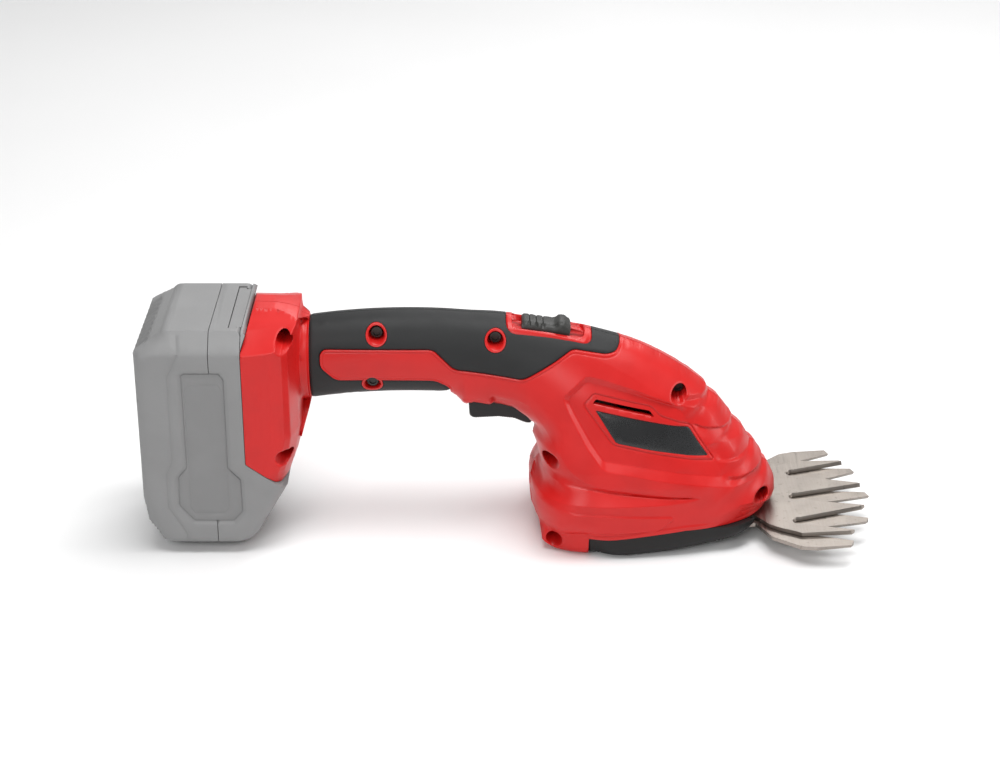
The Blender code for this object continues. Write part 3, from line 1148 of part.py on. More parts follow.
def make_battery(frame, latch, grey, dark, cell_steel, board_green, spring_steel):
    creases = [mm((-167, 7), (-123.2, 7)), mm((-173, 108.6), (-125.5, 108.6))]
    room_creases = [mm((-164.5, 7), (-128.8, 7)), mm((-169, 108.6), (-134, 108.6))]
    mesh = lifted_mesh(BATTERY_SIDE, battery_half_width, 0.0, creases,
                       ((1.6 * MM, 3 * MM), (5 * MM, 4 * MM)), 26 * MM, both=True)
    pack = make_object("battery_back_shell", mesh, frame, grey)
    mesh = lifted_mesh(BATTERY_ROOM, lambda x, z: battery_half_width(x, z, BATTERY_WALL), 0.0, room_creases,
                       ((2 * MM, 5 * MM),), 30 * MM, both=True)
    boolean(pack, make_object("tool", mesh, frame))
    channel = BATTERY_FRONT - RAIL_DEPTH - GAP
    neck_x = BATTERY_FRONT - 2.1 * MM
    for low_x, high_x, half in ((channel, neck_x, RAIL_HALF_WIDTH + GAP),
                                (neck_x, BATTERY_FRONT + 5 * MM, RAIL_HALF_WIDTH - 1.7 * MM)):
        slot = box_mesh((low_x, -half, RAIL_BOTTOM - GAP), (high_x, half, 140 * MM))
        boolean(pack, make_object("tool", slot, frame))
    boolean(pack, make_object("tool", box_mesh((-7.3 * MM, -14.3 * MM, -4.7 * MM - LATCH_TRAVEL),
                                              (7.3 * MM, 14.3 * MM, 14 * MM)), latch))
    boolean(pack, make_object("tool", cylinder_mesh(4 * MM, -13 * MM, -6 * MM, (0, 0), "Z", 16), latch))
    front = copy_of(pack)
    boolean(pack, make_object("tool", box_mesh((BATTERY_SPLIT - SEAM, -OUTSIDE, -10 * MM),
                                               (0, OUTSIDE, 150 * MM)), frame))
    boolean(front, make_object("tool", box_mesh((-0.25, -OUTSIDE, -10 * MM),
                                                (BATTERY_SPLIT + SEAM, OUTSIDE, 150 * MM)), frame))
    front.name = "battery_front_shell"
    for shell in (pack, front):
        keep_body(shell)
        shell.data.materials.clear()
        shell.data.materials.append(grey)
        shade(shell)

    pitch = 2 * CELL_RADIUS + GAP
    front_column = channel - 2.0 * MM - GAP - CELL_RADIUS
    number = 0
    for column in range(CELL_COLUMNS):
        for row in range(CELL_ROWS):
            number += 1
            place = (front_column - column * pitch, CELL_BOTTOM + row * pitch)
            cell = make_object(f"cell_{number:02d}", cylinder_mesh(
                CELL_RADIUS, -CELL_LENGTH / 2, CELL_LENGTH / 2, place, "Y", 16), frame, cell_steel)
            shade(cell)
    board_low = CELL_BOTTOM + (CELL_ROWS - 1) * pitch + CELL_RADIUS + GAP
    make_object("battery_board", box_mesh((front_column - pitch, -25 * MM, board_low),
                                          (front_column + 6 * MM, 25 * MM, board_low + 1.6 * MM)),
                frame, board_green)

    button = make_object("battery_latch", box_mesh((-7 * MM, -14 * MM, -4 * MM), (7 * MM, 14 * MM, 0.9 * MM)),
                         latch, dark)
    tube_object("battery_latch_spring", coil_points(2.8 * MM, -12.5 * MM, -4.7 * MM, 4), 0.4 * MM, latch,
                spring_steel)
    print("least gap of battery_latch_spring to itself, mm:", round(7.8 / 4 - 0.8, 2))
    return button


def make_rail(frame, grey):
    front = FOOT_BACK - GAP
    back = front - RAIL_DEPTH
    neck = RAIL_HALF_WIDTH - 2 * MM
    plan = [(front, -neck), (front - 2.4 * MM, -neck), (front - 2.4 * MM, -RAIL_HALF_WIDTH),
            (back, -RAIL_HALF_WIDTH), (back, RAIL_HALF_WIDTH), (front - 2.4 * MM, RAIL_HALF_WIDTH),
            (front - 2.4 * MM, neck), (front, neck)]
    make_object("terminal_block", prism_mesh(plan, RAIL_BOTTOM, RAIL_TOP, "Z"), frame, grey)


# Controls

TRIGGER_SIDE = mm((-15.7, 68.6), (-15.3, 61.2), (-13.5, 59.7), (-0.8, 60.4), (7.1, 59.5), (13.0, 56.8),
                  (15.6, 56.8), (16.2, 60.0), (16.3, 68.0), (15.2, 72.6), (12.0, 74.0), (9.0, 73.2),
                  (6.0, 71.6), (-6.0, 71.0), (-14.8, 70.6))
SLIDE_SIDE = mm((-13, -3.9), (-13, -0.6), (-12, 0.2), (3, 0.6), (5, 3.0), (8, 3.4), (10.5, 1.6),
                (SLIDE_FRONT / MM, -3.9))


def make_controls(frame, slide, trigger_axis, black, steel, dark):
    block = prism_mesh(TRIGGER_SIDE, -TRIGGER_HALF_WIDTH, TRIGGER_HALF_WIDTH)
    trigger = make_object("trigger", block, frame, black)
    hole = cylinder_mesh(PIN_RADIUS + RUNNING, -20 * MM, 20 * MM, TRIGGER_PIVOT, "Y", 16)
    boolean(trigger, make_object("tool", hole, frame))
    bevel = trigger.modifiers.new("edges", "BEVEL")
    bevel.width = 0.8 * MM
    bevel.segments = 1
    bevel.angle_limit = math.radians(50)
    trigger.data.transform(Matrix.Translation((-TRIGGER_PIVOT[0], 0, -TRIGGER_PIVOT[1])))
    trigger.parent = trigger_axis
    pin = make_object("trigger_pin", cylinder_mesh(PIN_RADIUS, -TRIGGER_HALF_WIDTH - 4.2 * MM,
                                                   TRIGGER_HALF_WIDTH + 4.2 * MM, (0, 0), "Y", 16),
                      trigger_axis, steel)
    shade(pin)

    body = make_object("switch_body", box_mesh((-14 * MM, -SWITCH_HALF_WIDTH, SWITCH_LOW),
                                               (14 * MM, SWITCH_HALF_WIDTH, SWITCH_HIGH)), frame, dark)
    for radius, x in ((2.7 * MM, BUTTON_X), (2.3 * MM, TRIGGER_SPRING_X)):
        pocket = cylinder_mesh(radius, SWITCH_LOW - 2 * MM, SWITCH_LOW + 8 * MM, (x, 0), "Z", 16)
        boolean(body, make_object("tool", pocket, frame))
    body.data.materials.clear()
    body.data.materials.append(dark)
    button_low = 71.5 * MM
    button = make_object("switch_button", cylinder_mesh(2.4 * MM, button_low, SWITCH_LOW + 4.5 * MM,
                                                        (BUTTON_X, 0), "Z", 16), frame, black)
    shade(button)
    spring_low, spring_high = 71.4 * MM, SWITCH_LOW + 7.4 * MM
    coil = coil_points(1.6 * MM, spring_low, spring_high, 5)
    spring = tube_object("trigger_spring", coil, 0.3 * MM, frame, steel)
    spring.location = (TRIGGER_SPRING_X, 0, 0)
    print("least gap of trigger_spring to itself, mm:",
          round(((spring_high - spring_low) / 5 - 0.6 * MM) / MM, 2))

    lock = make_object("lock_slide", prism_mesh(SLIDE_SIDE, -7.4 * MM, 7.4 * MM), slide, black)
    stem = box_mesh((-3 * MM, -2.5 * MM, -13 * MM), (3 * MM, 2.5 * MM, -3 * MM))
    boolean(lock, make_object("tool", stem, slide), "UNION")
    lock.data.materials.clear()
    lock.data.materials.append(black)
    wire = tube_object("lock_spring", [(z, x, y - 10 * MM) for x, y, z in
                                       coil_points(2.1 * MM, 3.8 * MM, 14.8 * MM, 6)], 0.35 * MM, slide, steel)
    print("least gap of lock_spring to itself, mm:", round(11.0 / 6 - 0.7, 2))
    return lock, wire


def make_wires(frame, red, black):
    motor_top = (PIVOT_X + MOTOR_U * math.cos(BLADE_PITCH) - (MOTOR_TOP - 2 * MM) * math.sin(BLADE_PITCH),
                 PIVOT_Z + MOTOR_U * math.sin(BLADE_PITCH) + (MOTOR_TOP - 2 * MM) * math.cos(BLADE_PITCH))
    routes = {
        "wire_battery_switch": (red, [(FOOT_BACK + 0.2 * MM, 4 * MM, 87 * MM), (-112 * MM, 4 * MM, 88 * MM),
                                      (-95 * MM, 4 * MM, 91 * MM), (-60 * MM, 4 * MM, 94 * MM),
                                      (-28 * MM, 4 * MM, 92 * MM), (-14.5 * MM, 4 * MM, 87 * MM)]),
        "wire_battery_motor": (black, [(FOOT_BACK + 0.2 * MM, -4 * MM, 83 * MM), (-112 * MM, -4 * MM, 85 * MM),
                                       (-95 * MM, -4 * MM, 89.5 * MM), (-60 * MM, -4 * MM, 93 * MM),
                                       (-20 * MM, -5 * MM, 95 * MM), (2 * MM, -6 * MM, 95.5 * MM),
                                       (22 * MM, -7 * MM, 95 * MM), (36 * MM, -9 * MM, 92 * MM),
                                       (motor_top[0], -11 * MM, motor_top[1] + 2.0 * MM)]),
        "wire_switch_motor": (red, [(14.5 * MM, 4 * MM, 86 * MM), (22 * MM, 5 * MM, 88.5 * MM),
                                    (33 * MM, 8 * MM, 91 * MM), (41 * MM, 10 * MM, 89.5 * MM),
                                    (motor_top[0] + 1 * MM, 11 * MM, motor_top[1] + 2.0 * MM)]),
    }
    for name, (material, knots) in routes.items():
        tube_object(name, smooth_route(knots, 7 * MM), 1.1 * MM, frame, material)


def smooth_route(knots, step):
    knots = np.array(knots)
    ends = np.vstack([2 * knots[0] - knots[1], knots, 2 * knots[-1] - knots[-2]])
    fine = []
    for i in range(len(knots) - 1):
        a, b, c, d = ends[i:i + 4]
        for t in np.linspace(0.0, 1.0, 10, endpoint=False):
            fine.append(0.5 * (2 * b + (c - a) * t + (2 * a - 5 * b + 4 * c - d) * t ** 2
                               + (3 * b - a - 3 * c + d) * t ** 3))
    fine.append(knots[-1])
    fine = np.array(fine)
    lengths = np.concatenate([[0.0], np.cumsum(np.linalg.norm(np.diff(fine, axis=0), axis=1))])
    places = np.linspace(0.0, lengths[-1], max(2, int(round(lengths[-1] / step))) + 1)
    return [tuple(np.interp(p, lengths, fine[:, k]) for k in range(3)) for p in places]


def main():
    clear_scene()
    red = make_material("red_plastic", (0.62, 0.022, 0.02), 0.42)
    rubber = make_material("black_rubber", (0.02, 0.02, 0.021), 0.62)
    black = make_material("black_plastic", (0.016, 0.016, 0.017), 0.5)
    dark = make_material("dark_plastic", (0.05, 0.05, 0.055), 0.5)
    grey = make_material("battery_grey", (0.27, 0.27, 0.275), 0.55)
    steel = make_material("steel", (0.42, 0.39, 0.36), 0.35, 1.0)
    bright = make_material("bright_steel", (0.6, 0.6, 0.6), 0.3, 1.0)
    brass = make_material("brass", (0.7, 0.5, 0.22), 0.35, 1.0)
    green = make_material("board_green", (0.03, 0.2, 0.07), 0.5)
    wire_red = make_material("wire_red", (0.6, 0.03, 0.02), 0.5)

    frame = make_empty("tool_frame", (ORIGIN_SHIFT, 0, 0))
    drive = make_empty("blade_frame", (PIVOT_X, 0, PIVOT_Z), (0, -BLADE_PITCH, 0), frame)
    slide = make_empty("lock_slide_axis", (SLIDE_X, 0, SLIDE_Z), (0, SLIDE_TILT, 0), frame)
    trigger_axis = make_empty("trigger_axis", (TRIGGER_PIVOT[0], 0, TRIGGER_PIVOT[1]), parent=frame)
    slope = LATCH_HEAD - LATCH_FOOT
    slope = slope / np.linalg.norm(slope)
    spot = LATCH_FOOT + slope * LATCH_ALONG
    lean = math.atan2(slope[1], -slope[0])
    latch = make_empty("battery_latch_axis", (spot[0], 0, spot[1]), (0, lean, 0), frame)

    Housing(frame, drive, slide, red, rubber).build()
    for name, (x, z) in SCREW_PLACES.items():
        make_screw("screw_" + name, (x, 0, z), frame, bright, -SCREW_SEAT - GAP, SCREW_REACH, -math.pi / 2)
    for side, name in ((-1, "right"), (1, "left")):
        place = (POST_U, side * POST_V, 0)
        make_screw("sole_screw_" + name, place, drive, bright, -2.4 * MM - GAP, 5.5 * MM, 0.0)
    make_gears(drive, steel, brass)
    make_gear_case(drive, dark, steel, brass)
    make_motor(drive, bright, black, dark)
    make_blades(drive, steel, bright)
    make_sole(frame, drive, black)
    make_controls(frame, slide, trigger_axis, black, bright, dark)
    make_rail(frame, grey)
    make_battery(frame, latch, grey, dark, bright, green, bright)
    make_wires(frame, wire_red, black)


main()
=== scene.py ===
import math
from contextlib import contextmanager

import bmesh
import bpy
import numpy as np
from bpy.props import FloatProperty, FloatVectorProperty, PointerProperty
from mathutils import Matrix, Vector
from mathutils.geometry import delaunay_2d_cdt
from mathutils.kdtree import KDTree


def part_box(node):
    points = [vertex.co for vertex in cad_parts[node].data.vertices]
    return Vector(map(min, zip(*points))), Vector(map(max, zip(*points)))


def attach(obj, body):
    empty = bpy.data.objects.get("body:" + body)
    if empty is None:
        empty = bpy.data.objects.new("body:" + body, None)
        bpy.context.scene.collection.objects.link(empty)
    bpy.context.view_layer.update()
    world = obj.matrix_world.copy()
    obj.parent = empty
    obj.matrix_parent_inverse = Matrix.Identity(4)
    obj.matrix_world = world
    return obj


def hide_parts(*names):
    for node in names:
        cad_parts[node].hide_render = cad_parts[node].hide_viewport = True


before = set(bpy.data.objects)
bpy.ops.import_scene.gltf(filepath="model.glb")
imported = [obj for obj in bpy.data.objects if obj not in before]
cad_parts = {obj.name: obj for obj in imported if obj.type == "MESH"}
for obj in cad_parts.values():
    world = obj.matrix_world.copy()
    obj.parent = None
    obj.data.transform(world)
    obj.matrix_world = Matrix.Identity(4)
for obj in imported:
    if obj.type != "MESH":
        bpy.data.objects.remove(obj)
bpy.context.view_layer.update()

bl_info = {
    "name": "Cordless grass shears",
    "version": (1, 0, 0),
    "blender": (4, 5, 0),
    "location": "3D View > Sidebar > Shears",
    "description": "Moulded housing, rubber grip, battery, comb blades and finishes of grass shears",
    "category": "Object",
}

# Sizes below are in millimetres in the side view: X forward, Z up, from the model's own origin shift
MM = 0.001
SEAM = 0.15
GAP = 0.3
CLEAR = 0.02  # keeps a cut off the CAD face beside it
OUTSIDE = 70.0
WELD = 2e-6  # metres
BATTERY_BACK = -176.5
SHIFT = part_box("battery_back_shell")[0][0] / MM - BATTERY_BACK
PIVOT = (112.0, 8.67)
BLADE_PITCH = math.radians(3.7)
SLIDE_PLACE = (24.0, 110.6)
SLIDE_TILT = math.radians(11.3)
WELL_PLACES = {
    "foot_top": (-104.1, 111.5), "foot_bottom": (-106.0, 52.0), "handle_back": (-60.5, 107.6),
    "handle_low": (-63.0, 81.5), "handle_front": (-2.3, 105.0), "head_top": (88.0, 78.5),
    "head_back": (25.0, 47.2), "nose": (131.0, 23.5), "base_back": (27.0, 7.0),
}
SCREW_SEAT = 6.0
HANDLE_BACK, HANDLE_FRONT = -94.0, -25.0
HANDLE_CROWN = (-45.0, 94.9)
HANDLE_ARC = 333.0
HANDLE_HALF_WIDTH, HANDLE_HALF_HEIGHT = 16.0, 21.5
HEAD_HALF_WIDTH = 41.0
BASE_STEP = 3.5
UNDER_ROUND = 14.0
GRIP_BACK, GRIP_FRONT = -93.5, 59.0


def points(*pairs):
    return np.array(pairs, dtype=float)


# Sizes and colours that a user would change

class ShearsSizes(bpy.types.PropertyGroup):
    """Sizes that a user would change."""

    spacing: FloatProperty(name="Mesh spacing", description="Distance between points on the moulded skins",
                           default=0.0017, min=0.001, unit="LENGTH")
    grip_thickness: FloatProperty(name="Grip thickness", default=0.0018, unit="LENGTH",
                                  description="Thickness of the rubber laid into the shells")
    grip_round: FloatProperty(name="Grip edge", description="Rounding along the rubber's border",
                              default=0.0007, unit="LENGTH")
    lip_height: FloatProperty(name="Lip height", description="Raised red lip round the rubber",
                              default=0.0003, unit="LENGTH")
    panel_depth: FloatProperty(name="Side panel depth", default=0.0026, unit="LENGTH",
                               description="How far the side panel of the head is let in")
    groove_depth: FloatProperty(name="Groove depth", description="Depth of the line round the label",
                                default=0.0008, unit="LENGTH")
    label_depth: FloatProperty(name="Label bed", description="Depth of the bed that holds the label plate",
                               default=0.0005, unit="LENGTH")
    cowl_step: FloatProperty(name="Cowl step", description="Height of the steps across the nose",
                             default=0.0020, unit="LENGTH")
    rib_depth: FloatProperty(name="Rib depth", description="Depth of the grooves beside the nose screw",
                             default=0.0007, unit="LENGTH")
    well_radius: FloatProperty(name="Screw well", description="Radius of the screw wells",
                               default=0.004, unit="LENGTH")
    pack_panel: FloatProperty(name="Battery panel", description="Depth of the battery's side panel",
                              default=0.0010, unit="LENGTH")
    pack_ridge: FloatProperty(name="Battery ridges", description="Depth of the finger ridges on the battery",
                              default=0.0013, unit="LENGTH")


class ShearsColours(bpy.types.PropertyGroup):
    """Colours that a user would change."""

    red: FloatVectorProperty(name="Housing red", description="Moulded housing", subtype="COLOR", size=3,
                             min=0, max=1, default=(0.56, 0.010, 0.009))
    rubber: FloatVectorProperty(name="Rubber", description="Soft grip", subtype="COLOR", size=3,
                                min=0, max=1, default=(0.017, 0.0175, 0.018))
    black: FloatVectorProperty(name="Black plastic", description="Trigger and small black pieces",
                               subtype="COLOR", size=3, min=0, max=1, default=(0.013, 0.013, 0.0135))
    battery: FloatVectorProperty(name="Battery grey", description="Battery case", subtype="COLOR", size=3,
                                 min=0, max=1, default=(0.236, 0.236, 0.237))
    blade: FloatVectorProperty(name="Blade steel", description="Comb blades", subtype="COLOR", size=3,
                               min=0, max=1, default=(0.33, 0.295, 0.265))
    label: FloatVectorProperty(name="Label", description="Plain plate on the head", subtype="COLOR", size=3,
                               min=0, max=1, default=(0.016, 0.0165, 0.0175))


def size(name):
    """A size of the panel, in millimetres."""
    return getattr(bpy.context.scene.shears_sizes, name) / MM


def colour(name):
    return tuple(getattr(bpy.context.scene.shears_colours, name))


# Lines and fields of the side view

def even_line(line, step):
    """Points at an even step along a line; its corners may be cut."""
    line = np.asarray(line, dtype=float)
    lengths = np.concatenate([[0.0], np.cumsum(np.linalg.norm(np.diff(line, axis=0), axis=1))])
    places = np.linspace(0.0, lengths[-1], max(1, int(round(lengths[-1] / step))) + 1)
    return np.column_stack([np.interp(places, lengths, line[:, k]) for k in range(line.shape[1])])


def cornered_line(line, step):
    """Points at an even step that keep every corner of the line."""
    parts = [even_line(line[i:i + 2], step)[:-1] for i in range(len(line) - 1)]
    return np.vstack(parts + [line[-1:]])


def spline_line(knots, step):
    """Catmull-Rom curve through the knots."""
    knots = np.asarray(knots, dtype=float)
    ends = np.vstack([2 * knots[0] - knots[1], knots, 2 * knots[-1] - knots[-2]])
    fine = []
    for a, b, c, d in zip(ends, ends[1:], ends[2:], ends[3:]):
        for t in np.linspace(0.0, 1.0, 12, endpoint=False):
            fine.append(0.5 * (2 * b + (c - a) * t + (2 * a - 5 * b + 4 * c - d) * t ** 2
                               + (3 * b - a - 3 * c + d) * t ** 3))
    return even_line(np.array(fine + [knots[-1]]), step)


def smoothstep(low, high, value):
    t = np.clip((value - low) / (high - low), 0.0, 1.0)
    return t * t * (3 - 2 * t)


def rounded(distance, radius, power=2.0):
    """Share of the full width at a distance in from an edge."""
    t = np.clip(distance / radius, 0.0, 1.0)
    return (1.0 - (1.0 - t) ** power) ** (1.0 / power)


def smooth_max(a, b, reach):
    """The larger of two widths, blended where they are nearly alike."""
    reach = np.minimum(reach, 2 * np.maximum(np.minimum(a, b), 1e-6))
    return np.maximum(a, b) + np.maximum(reach - np.abs(a - b), 0.0) ** 2 / (4 * reach)


def unit(run):
    return run / np.maximum(np.linalg.norm(run, axis=1), 1e-9)[:, None]


def left_of(run):
    """The directions turned a quarter to the left."""
    return np.column_stack([-run[:, 1], run[:, 0]])


def loop_sides(loop):
    """Unit vectors to each point's next one, and from the one before it."""
    return unit(np.roll(loop, -1, axis=0) - loop), unit(loop - np.roll(loop, 1, axis=0))


def winding(loop):
    """1 for a loop that runs anticlockwise, otherwise -1."""
    x, z = loop[:, 0], loop[:, 1]
    return 1.0 if (x * np.roll(z, -1) - np.roll(x, -1) * z).sum() > 0 else -1.0


def line_distance(spots, line):
    return segment_distance(spots, line[:-1], line[1:])


def segment_distance(spots, start, end, batch=1500):
    """Distance from each spot to the nearest segment, worked out in batches to spare memory."""
    run = end - start
    square = np.maximum((run ** 2).sum(axis=1), 1e-12)
    found = []
    for k in range(0, len(spots), batch):
        offset = spots[k:k + batch, None, :] - start[None]
        share = np.clip((offset * run[None]).sum(axis=2) / square[None], 0.0, 1.0)
        nearest = offset - share[..., None] * run[None]
        found.append(np.sqrt((nearest ** 2).sum(axis=2).min(axis=1)))
    return np.concatenate(found) if found else np.zeros(0)


def closed(loop):
    return np.vstack([loop, loop[:1]])


def paced_loop(loop, step):
    """The closed loop with points at an even step that keep its corners."""
    return cornered_line(closed(loop), step)[:-1]


def inside(spots, loop):
    """Which spots lie inside a closed loop."""
    found = np.zeros(len(spots), dtype=bool)
    x, z = spots[:, 0], spots[:, 1]
    for (x1, z1), (x2, z2) in zip(loop, np.roll(loop, -1, axis=0)):
        if z1 != z2:
            found ^= ((z1 > z) != (z2 > z)) & (x < x1 + (z - z1) * (x2 - x1) / (z2 - z1))
    return found


def coarsened(loop, flags, tolerance=0.25, longest=8.0):
    """A closed loop with fewer points that stays within the tolerance, and its flags."""
    keep, here, count = [0], 0, len(loop)
    while here < count:
        ahead = here + 1
        while ahead + 1 <= count:
            end = loop[(ahead + 1) % count]
            run = np.vstack([loop[here], end])
            between = loop[here + 1:ahead + 1]
            if (flags[ahead % count] != flags[here] or np.linalg.norm(end - loop[here]) > longest
                    or line_distance(between, run).max() > tolerance):
                break
            ahead += 1
        here = ahead
        if here < count:
            keep.append(here)
    return loop[keep], flags[keep]


def inset_loop(loop, amount, flags=None, outset=4.0):
    """Draw a closed loop in by an amount (out if negative); points flagged -1 move out by the outset."""
    loop = np.asarray(loop, dtype=float)
    flags = np.ones(len(loop)) if flags is None else np.asarray(flags)
    ahead, back = loop_sides(loop)
    turn = winding(loop)
    first = turn * left_of(back)
    normal = unit(first + turn * left_of(ahead))
    miter = 1.0 / np.maximum(0.5, (normal * first).sum(axis=1))
    move = np.where(flags > 0, amount, -outset)
    spots = loop + normal * (move * miter)[:, None]
    if amount > 0:
        solid = (flags > 0) & (np.roll(flags, -1) > 0)
        near = segment_distance(spots, loop[solid], np.roll(loop, -1, axis=0)[solid])
        spots = spots[(near > amount - 0.06) | (flags < 0)]
    return spots


def handle_edge(side, start, end, count=8):
    """The handle's arched line, on top (side 1) or underneath (side -1)."""
    x = np.linspace(start, end, count)
    middle = HANDLE_CROWN[1] - (x - HANDLE_CROWN[0]) ** 2 / (2 * HANDLE_ARC)
    return np.column_stack([x, middle + side * HANDLE_HALF_HEIGHT])


HEAD_TOP = points((0, 114.2), (25, 110.6), (49, 104.8), (69.4, 98.0), (89.6, 86.8), (103.5, 75.6),
                  (115, 61.7), (127.4, 45.8), (134.6, 34.5), (139.0, 25.5), (139.9, 19.8))
NOSE_LOWER = points((139.9, 19.8), (138.8, 16.0), (136.0, 14.0))
SOLE_EDGE = points((126, 14.0), (113, 14.3), (92, 14.7), (67.4, 12.3), (44, 10.2))
SOLE_BOTTOM = points((44, 0), (63, 0), (90, 2.2), (112, 4.4), (120, 5.1), (127, 6.0), (131, 7.4))
BASE_REAR = points((37, 0), (29, 1.4), (21.6, 5.2), (16.8, 12.3), (15.0, 21.5), (14.9, 29.5), (16.8, 32.9),
                   (20.3, 37.5))
UPPER_REAR = points((20.3, 37.5), (19.8, 39.8), (17.2, 48.8), (15.1, 53.3))
TRIGGER_MOUTH = points((15.1, 53.3), (17.0, 58.0), (12.5, 64.4), (6.5, 68.4), (-14.2, 70.3), (-16.9, 68.4),
                       (-18.8, 67.8), (-22.6, 70.8))
FOOT_FRONT_LINE = points((-97.0, 60.0), (-100.5, 47.6), (-104.0, 36.8))
FOOT_BACK, FOOT_FRONT, FOOT_TOP, FOOT_SHOULDER = -124.5, -98.0, 120.6, 108.6
FOOT_SIDE = points((-104.0, 36.8), (-107.5, 37.3), (-124.5, 49.6), (FOOT_BACK, FOOT_SHOULDER),
                   (FOOT_BACK + 4.0, FOOT_TOP), (-110.0, 120.3), (-103.6, 119.2), (FOOT_FRONT - 0.6, 117.6),
                   (FOOT_FRONT + 0.5, 115.0))
LEDGE_UPPER = points((20.3, 37.5), (26, 38.5), (42, 36.8), (59, 34.0), (83, 31.5), (100, 31.0))
LEDGE_LOWER = points((14.8, 30.4), (19, 30.4), (32, 30.1), (50, 29.2), (83, 29.2), (100, 29.2))

# Rubber and side panel
GRIP_REGION = points((-93.5, 126), (59, 126), (59, 101), (57, 98.6), (52.4, 98), (35.5, 101.2), (11.1, 86.9),
                     (-22.4, 90.3), (-32.7, 100.9), (-86.5, 100.9), (-88.5, 98.5), (-88.5, 92), (-80.9, 84.3),
                     (-31.9, 83.7), (-25.1, 79.1), (-24, 60), (-93.5, 60))
PANEL_OUTER = points((30.6, 80.1), (33.2, 82.8), (41.4, 89.8), (43.4, 90.0), (48.6, 88.9), (66.6, 83.0),
                     (80.0, 77.6), (88.0, 74.6), (100.0, 72.0), (112.0, 56.0), (121.0, 40.0), (114.0, 33.5),
                     (99.6, 37.3), (83.0, 40.6), (66.7, 43.6), (51.2, 46.4), (49.2, 48.2), (42.2, 57.6),
                     (34.1, 71.9))
PANEL_INNER = points((33.5, 77.8), (34.4, 80.0), (41.5, 86.3), (43.3, 86.7), (48.6, 85.4), (66.5, 80.4),
                     (80.3, 75.6), (85.5, 73.6), (88.5, 72.0), (93.0, 65.6), (106.5, 46.8), (111.0, 38.4),
                     (99.6, 40.9), (83.0, 44.7), (66.6, 47.5), (51.6, 49.9), (50.2, 50.8), (44.7, 58.4),
                     (36.5, 72.2))
LABEL_FRAME = points((40.9, 76.4), (45.4, 81.2), (46.8, 81.5), (73.9, 74.8), (78.8, 70.1), (93.8, 64.5),
                     (106.0, 46.9), (56.8, 57.3), (54.8, 58.4))
LABEL_BED = points((46.2, 74.2), (92.9, 63.9), (103.3, 49.1), (57.8, 58.0), (56.4, 58.8))
VENT = points((45.2, 77.0), (46.9, 79.2), (73.3, 73.1), (75.6, 70.3), (74.6, 70.2))

# Steps across the nose, each from the panel to beyond the top line
COWL_EDGE = points((84.5, 77.8), (91.9, 77.4), (96.7, 76.6), (100.1, 75.9), (103.5, 76.2))
COWL_FOOT = points((84.3, 75.6), (91.8, 75.2), (97.5, 74.4), (101.0, 73.6), (105.0, 74.0))
SHELF_RIM = points((84.0, 74.9), (88.6, 74.0), (96.4, 71.8), (104.0, 69.4), (110.0, 68.8))
SECOND_EDGE = points((92.5, 65.5), (100.8, 62.7), (105.5, 61.4), (110.9, 60.0), (118.0, 59.6))
SECOND_FOOT = points((92.8, 64.9), (100.9, 61.9), (105.7, 60.6), (111.2, 59.2), (118.6, 58.6))
SECOND_END = points((98.0, 56.0), (108.0, 54.0), (116.0, 53.0), (124.0, 52.6))
THIRD_FOOT = points((106.0, 46.9), (113.6, 45.6), (120.0, 45.5), (123.6, 45.7), (129.0, 46.9))
THIRD_RIM = points((106.4, 46.0), (114.1, 44.5), (120.4, 44.1), (124.7, 44.2), (130.0, 45.0))
FOURTH_EDGE = points((110.8, 38.8), (117.3, 37.6), (123.1, 37.4), (127.8, 37.6), (135.0, 38.2))
FOURTH_FOOT = points((112.0, 36.6), (117.8, 35.8), (123.6, 35.6), (128.6, 35.8), (136.5, 36.2))
FOURTH_RIM = points((113.6, 33.5), (120.6, 33.2), (127.0, 32.6), (131.8, 32.6), (139.0, 33.0))
COWL_START = points((78, 84), (84.3, 76.0), (87.0, 73.0), (93.0, 66.0), (106.5, 47.0), (111.5, 38.0),
                    (113.5, 32))

# Lower edge of the upper body, and the base
TOE = points((31.4, 48.1), (35.8, 44.4), (41.8, 40.6), (47.4, 38.6), (54.9, 36.9), (65.0, 35.4), (75.0, 34.2),
             (88.6, 32.6), (99.0, 31.6))
VALLEY = points((27.0, 38.9), (37.4, 38.2), (44.9, 36.9), (54.9, 35.2), (70.0, 33.2), (88.6, 31.5),
                (99.0, 31.0))
FLANK_EDGE = points((9.8, 76.0), (14.7, 74.3), (18.8, 67.5), (24.5, 58.8), (34.2, 46.0), (40.7, 41.2))
BASE_BAND = points((31.1, 27.3), (33.4, 26.5), (37.9, 25.5), (55.0, 24.7), (84.6, 22.7), (85.9, 21.2),
                   (79.5, 15.9), (75.5, 15.0), (60.3, 14.6), (45.2, 13.9), (34.0, 13.2))
BASE_RIM = points((33.0, 12.0), (45.2, 12.7), (60.3, 13.4), (75.5, 15.6), (92, 17.2), (110, 16.9))
NOSE_RIBS = (points((119.5, 22.6), (141, 21.6)), points((120.6, 19.2), (141, 18.4)),
             points((118.6, 16.0), (141, 15.2)))
FOOT_ROOF_BACK = points((107.2, 38.0), (115.1, 24.0), (FOOT_TOP, 8.7))
FOOT_ROOF_FRONT = points((110.4, 38.0), (116.8, 18.5), (FOOT_TOP - 0.9, 8.7))
FOOT_FACETS = points((0, 0.0), (0.3, 12.0), (1.2, 20.5), (4.5, 32.4), (7.3, 36.4), (13.0, 38.0), (60, 38.0))
FOOT_FRONT_PLACES = (36.8, 47.6, 62.0, 125.0), (-104.0, -100.5, FOOT_FRONT, FOOT_FRONT)
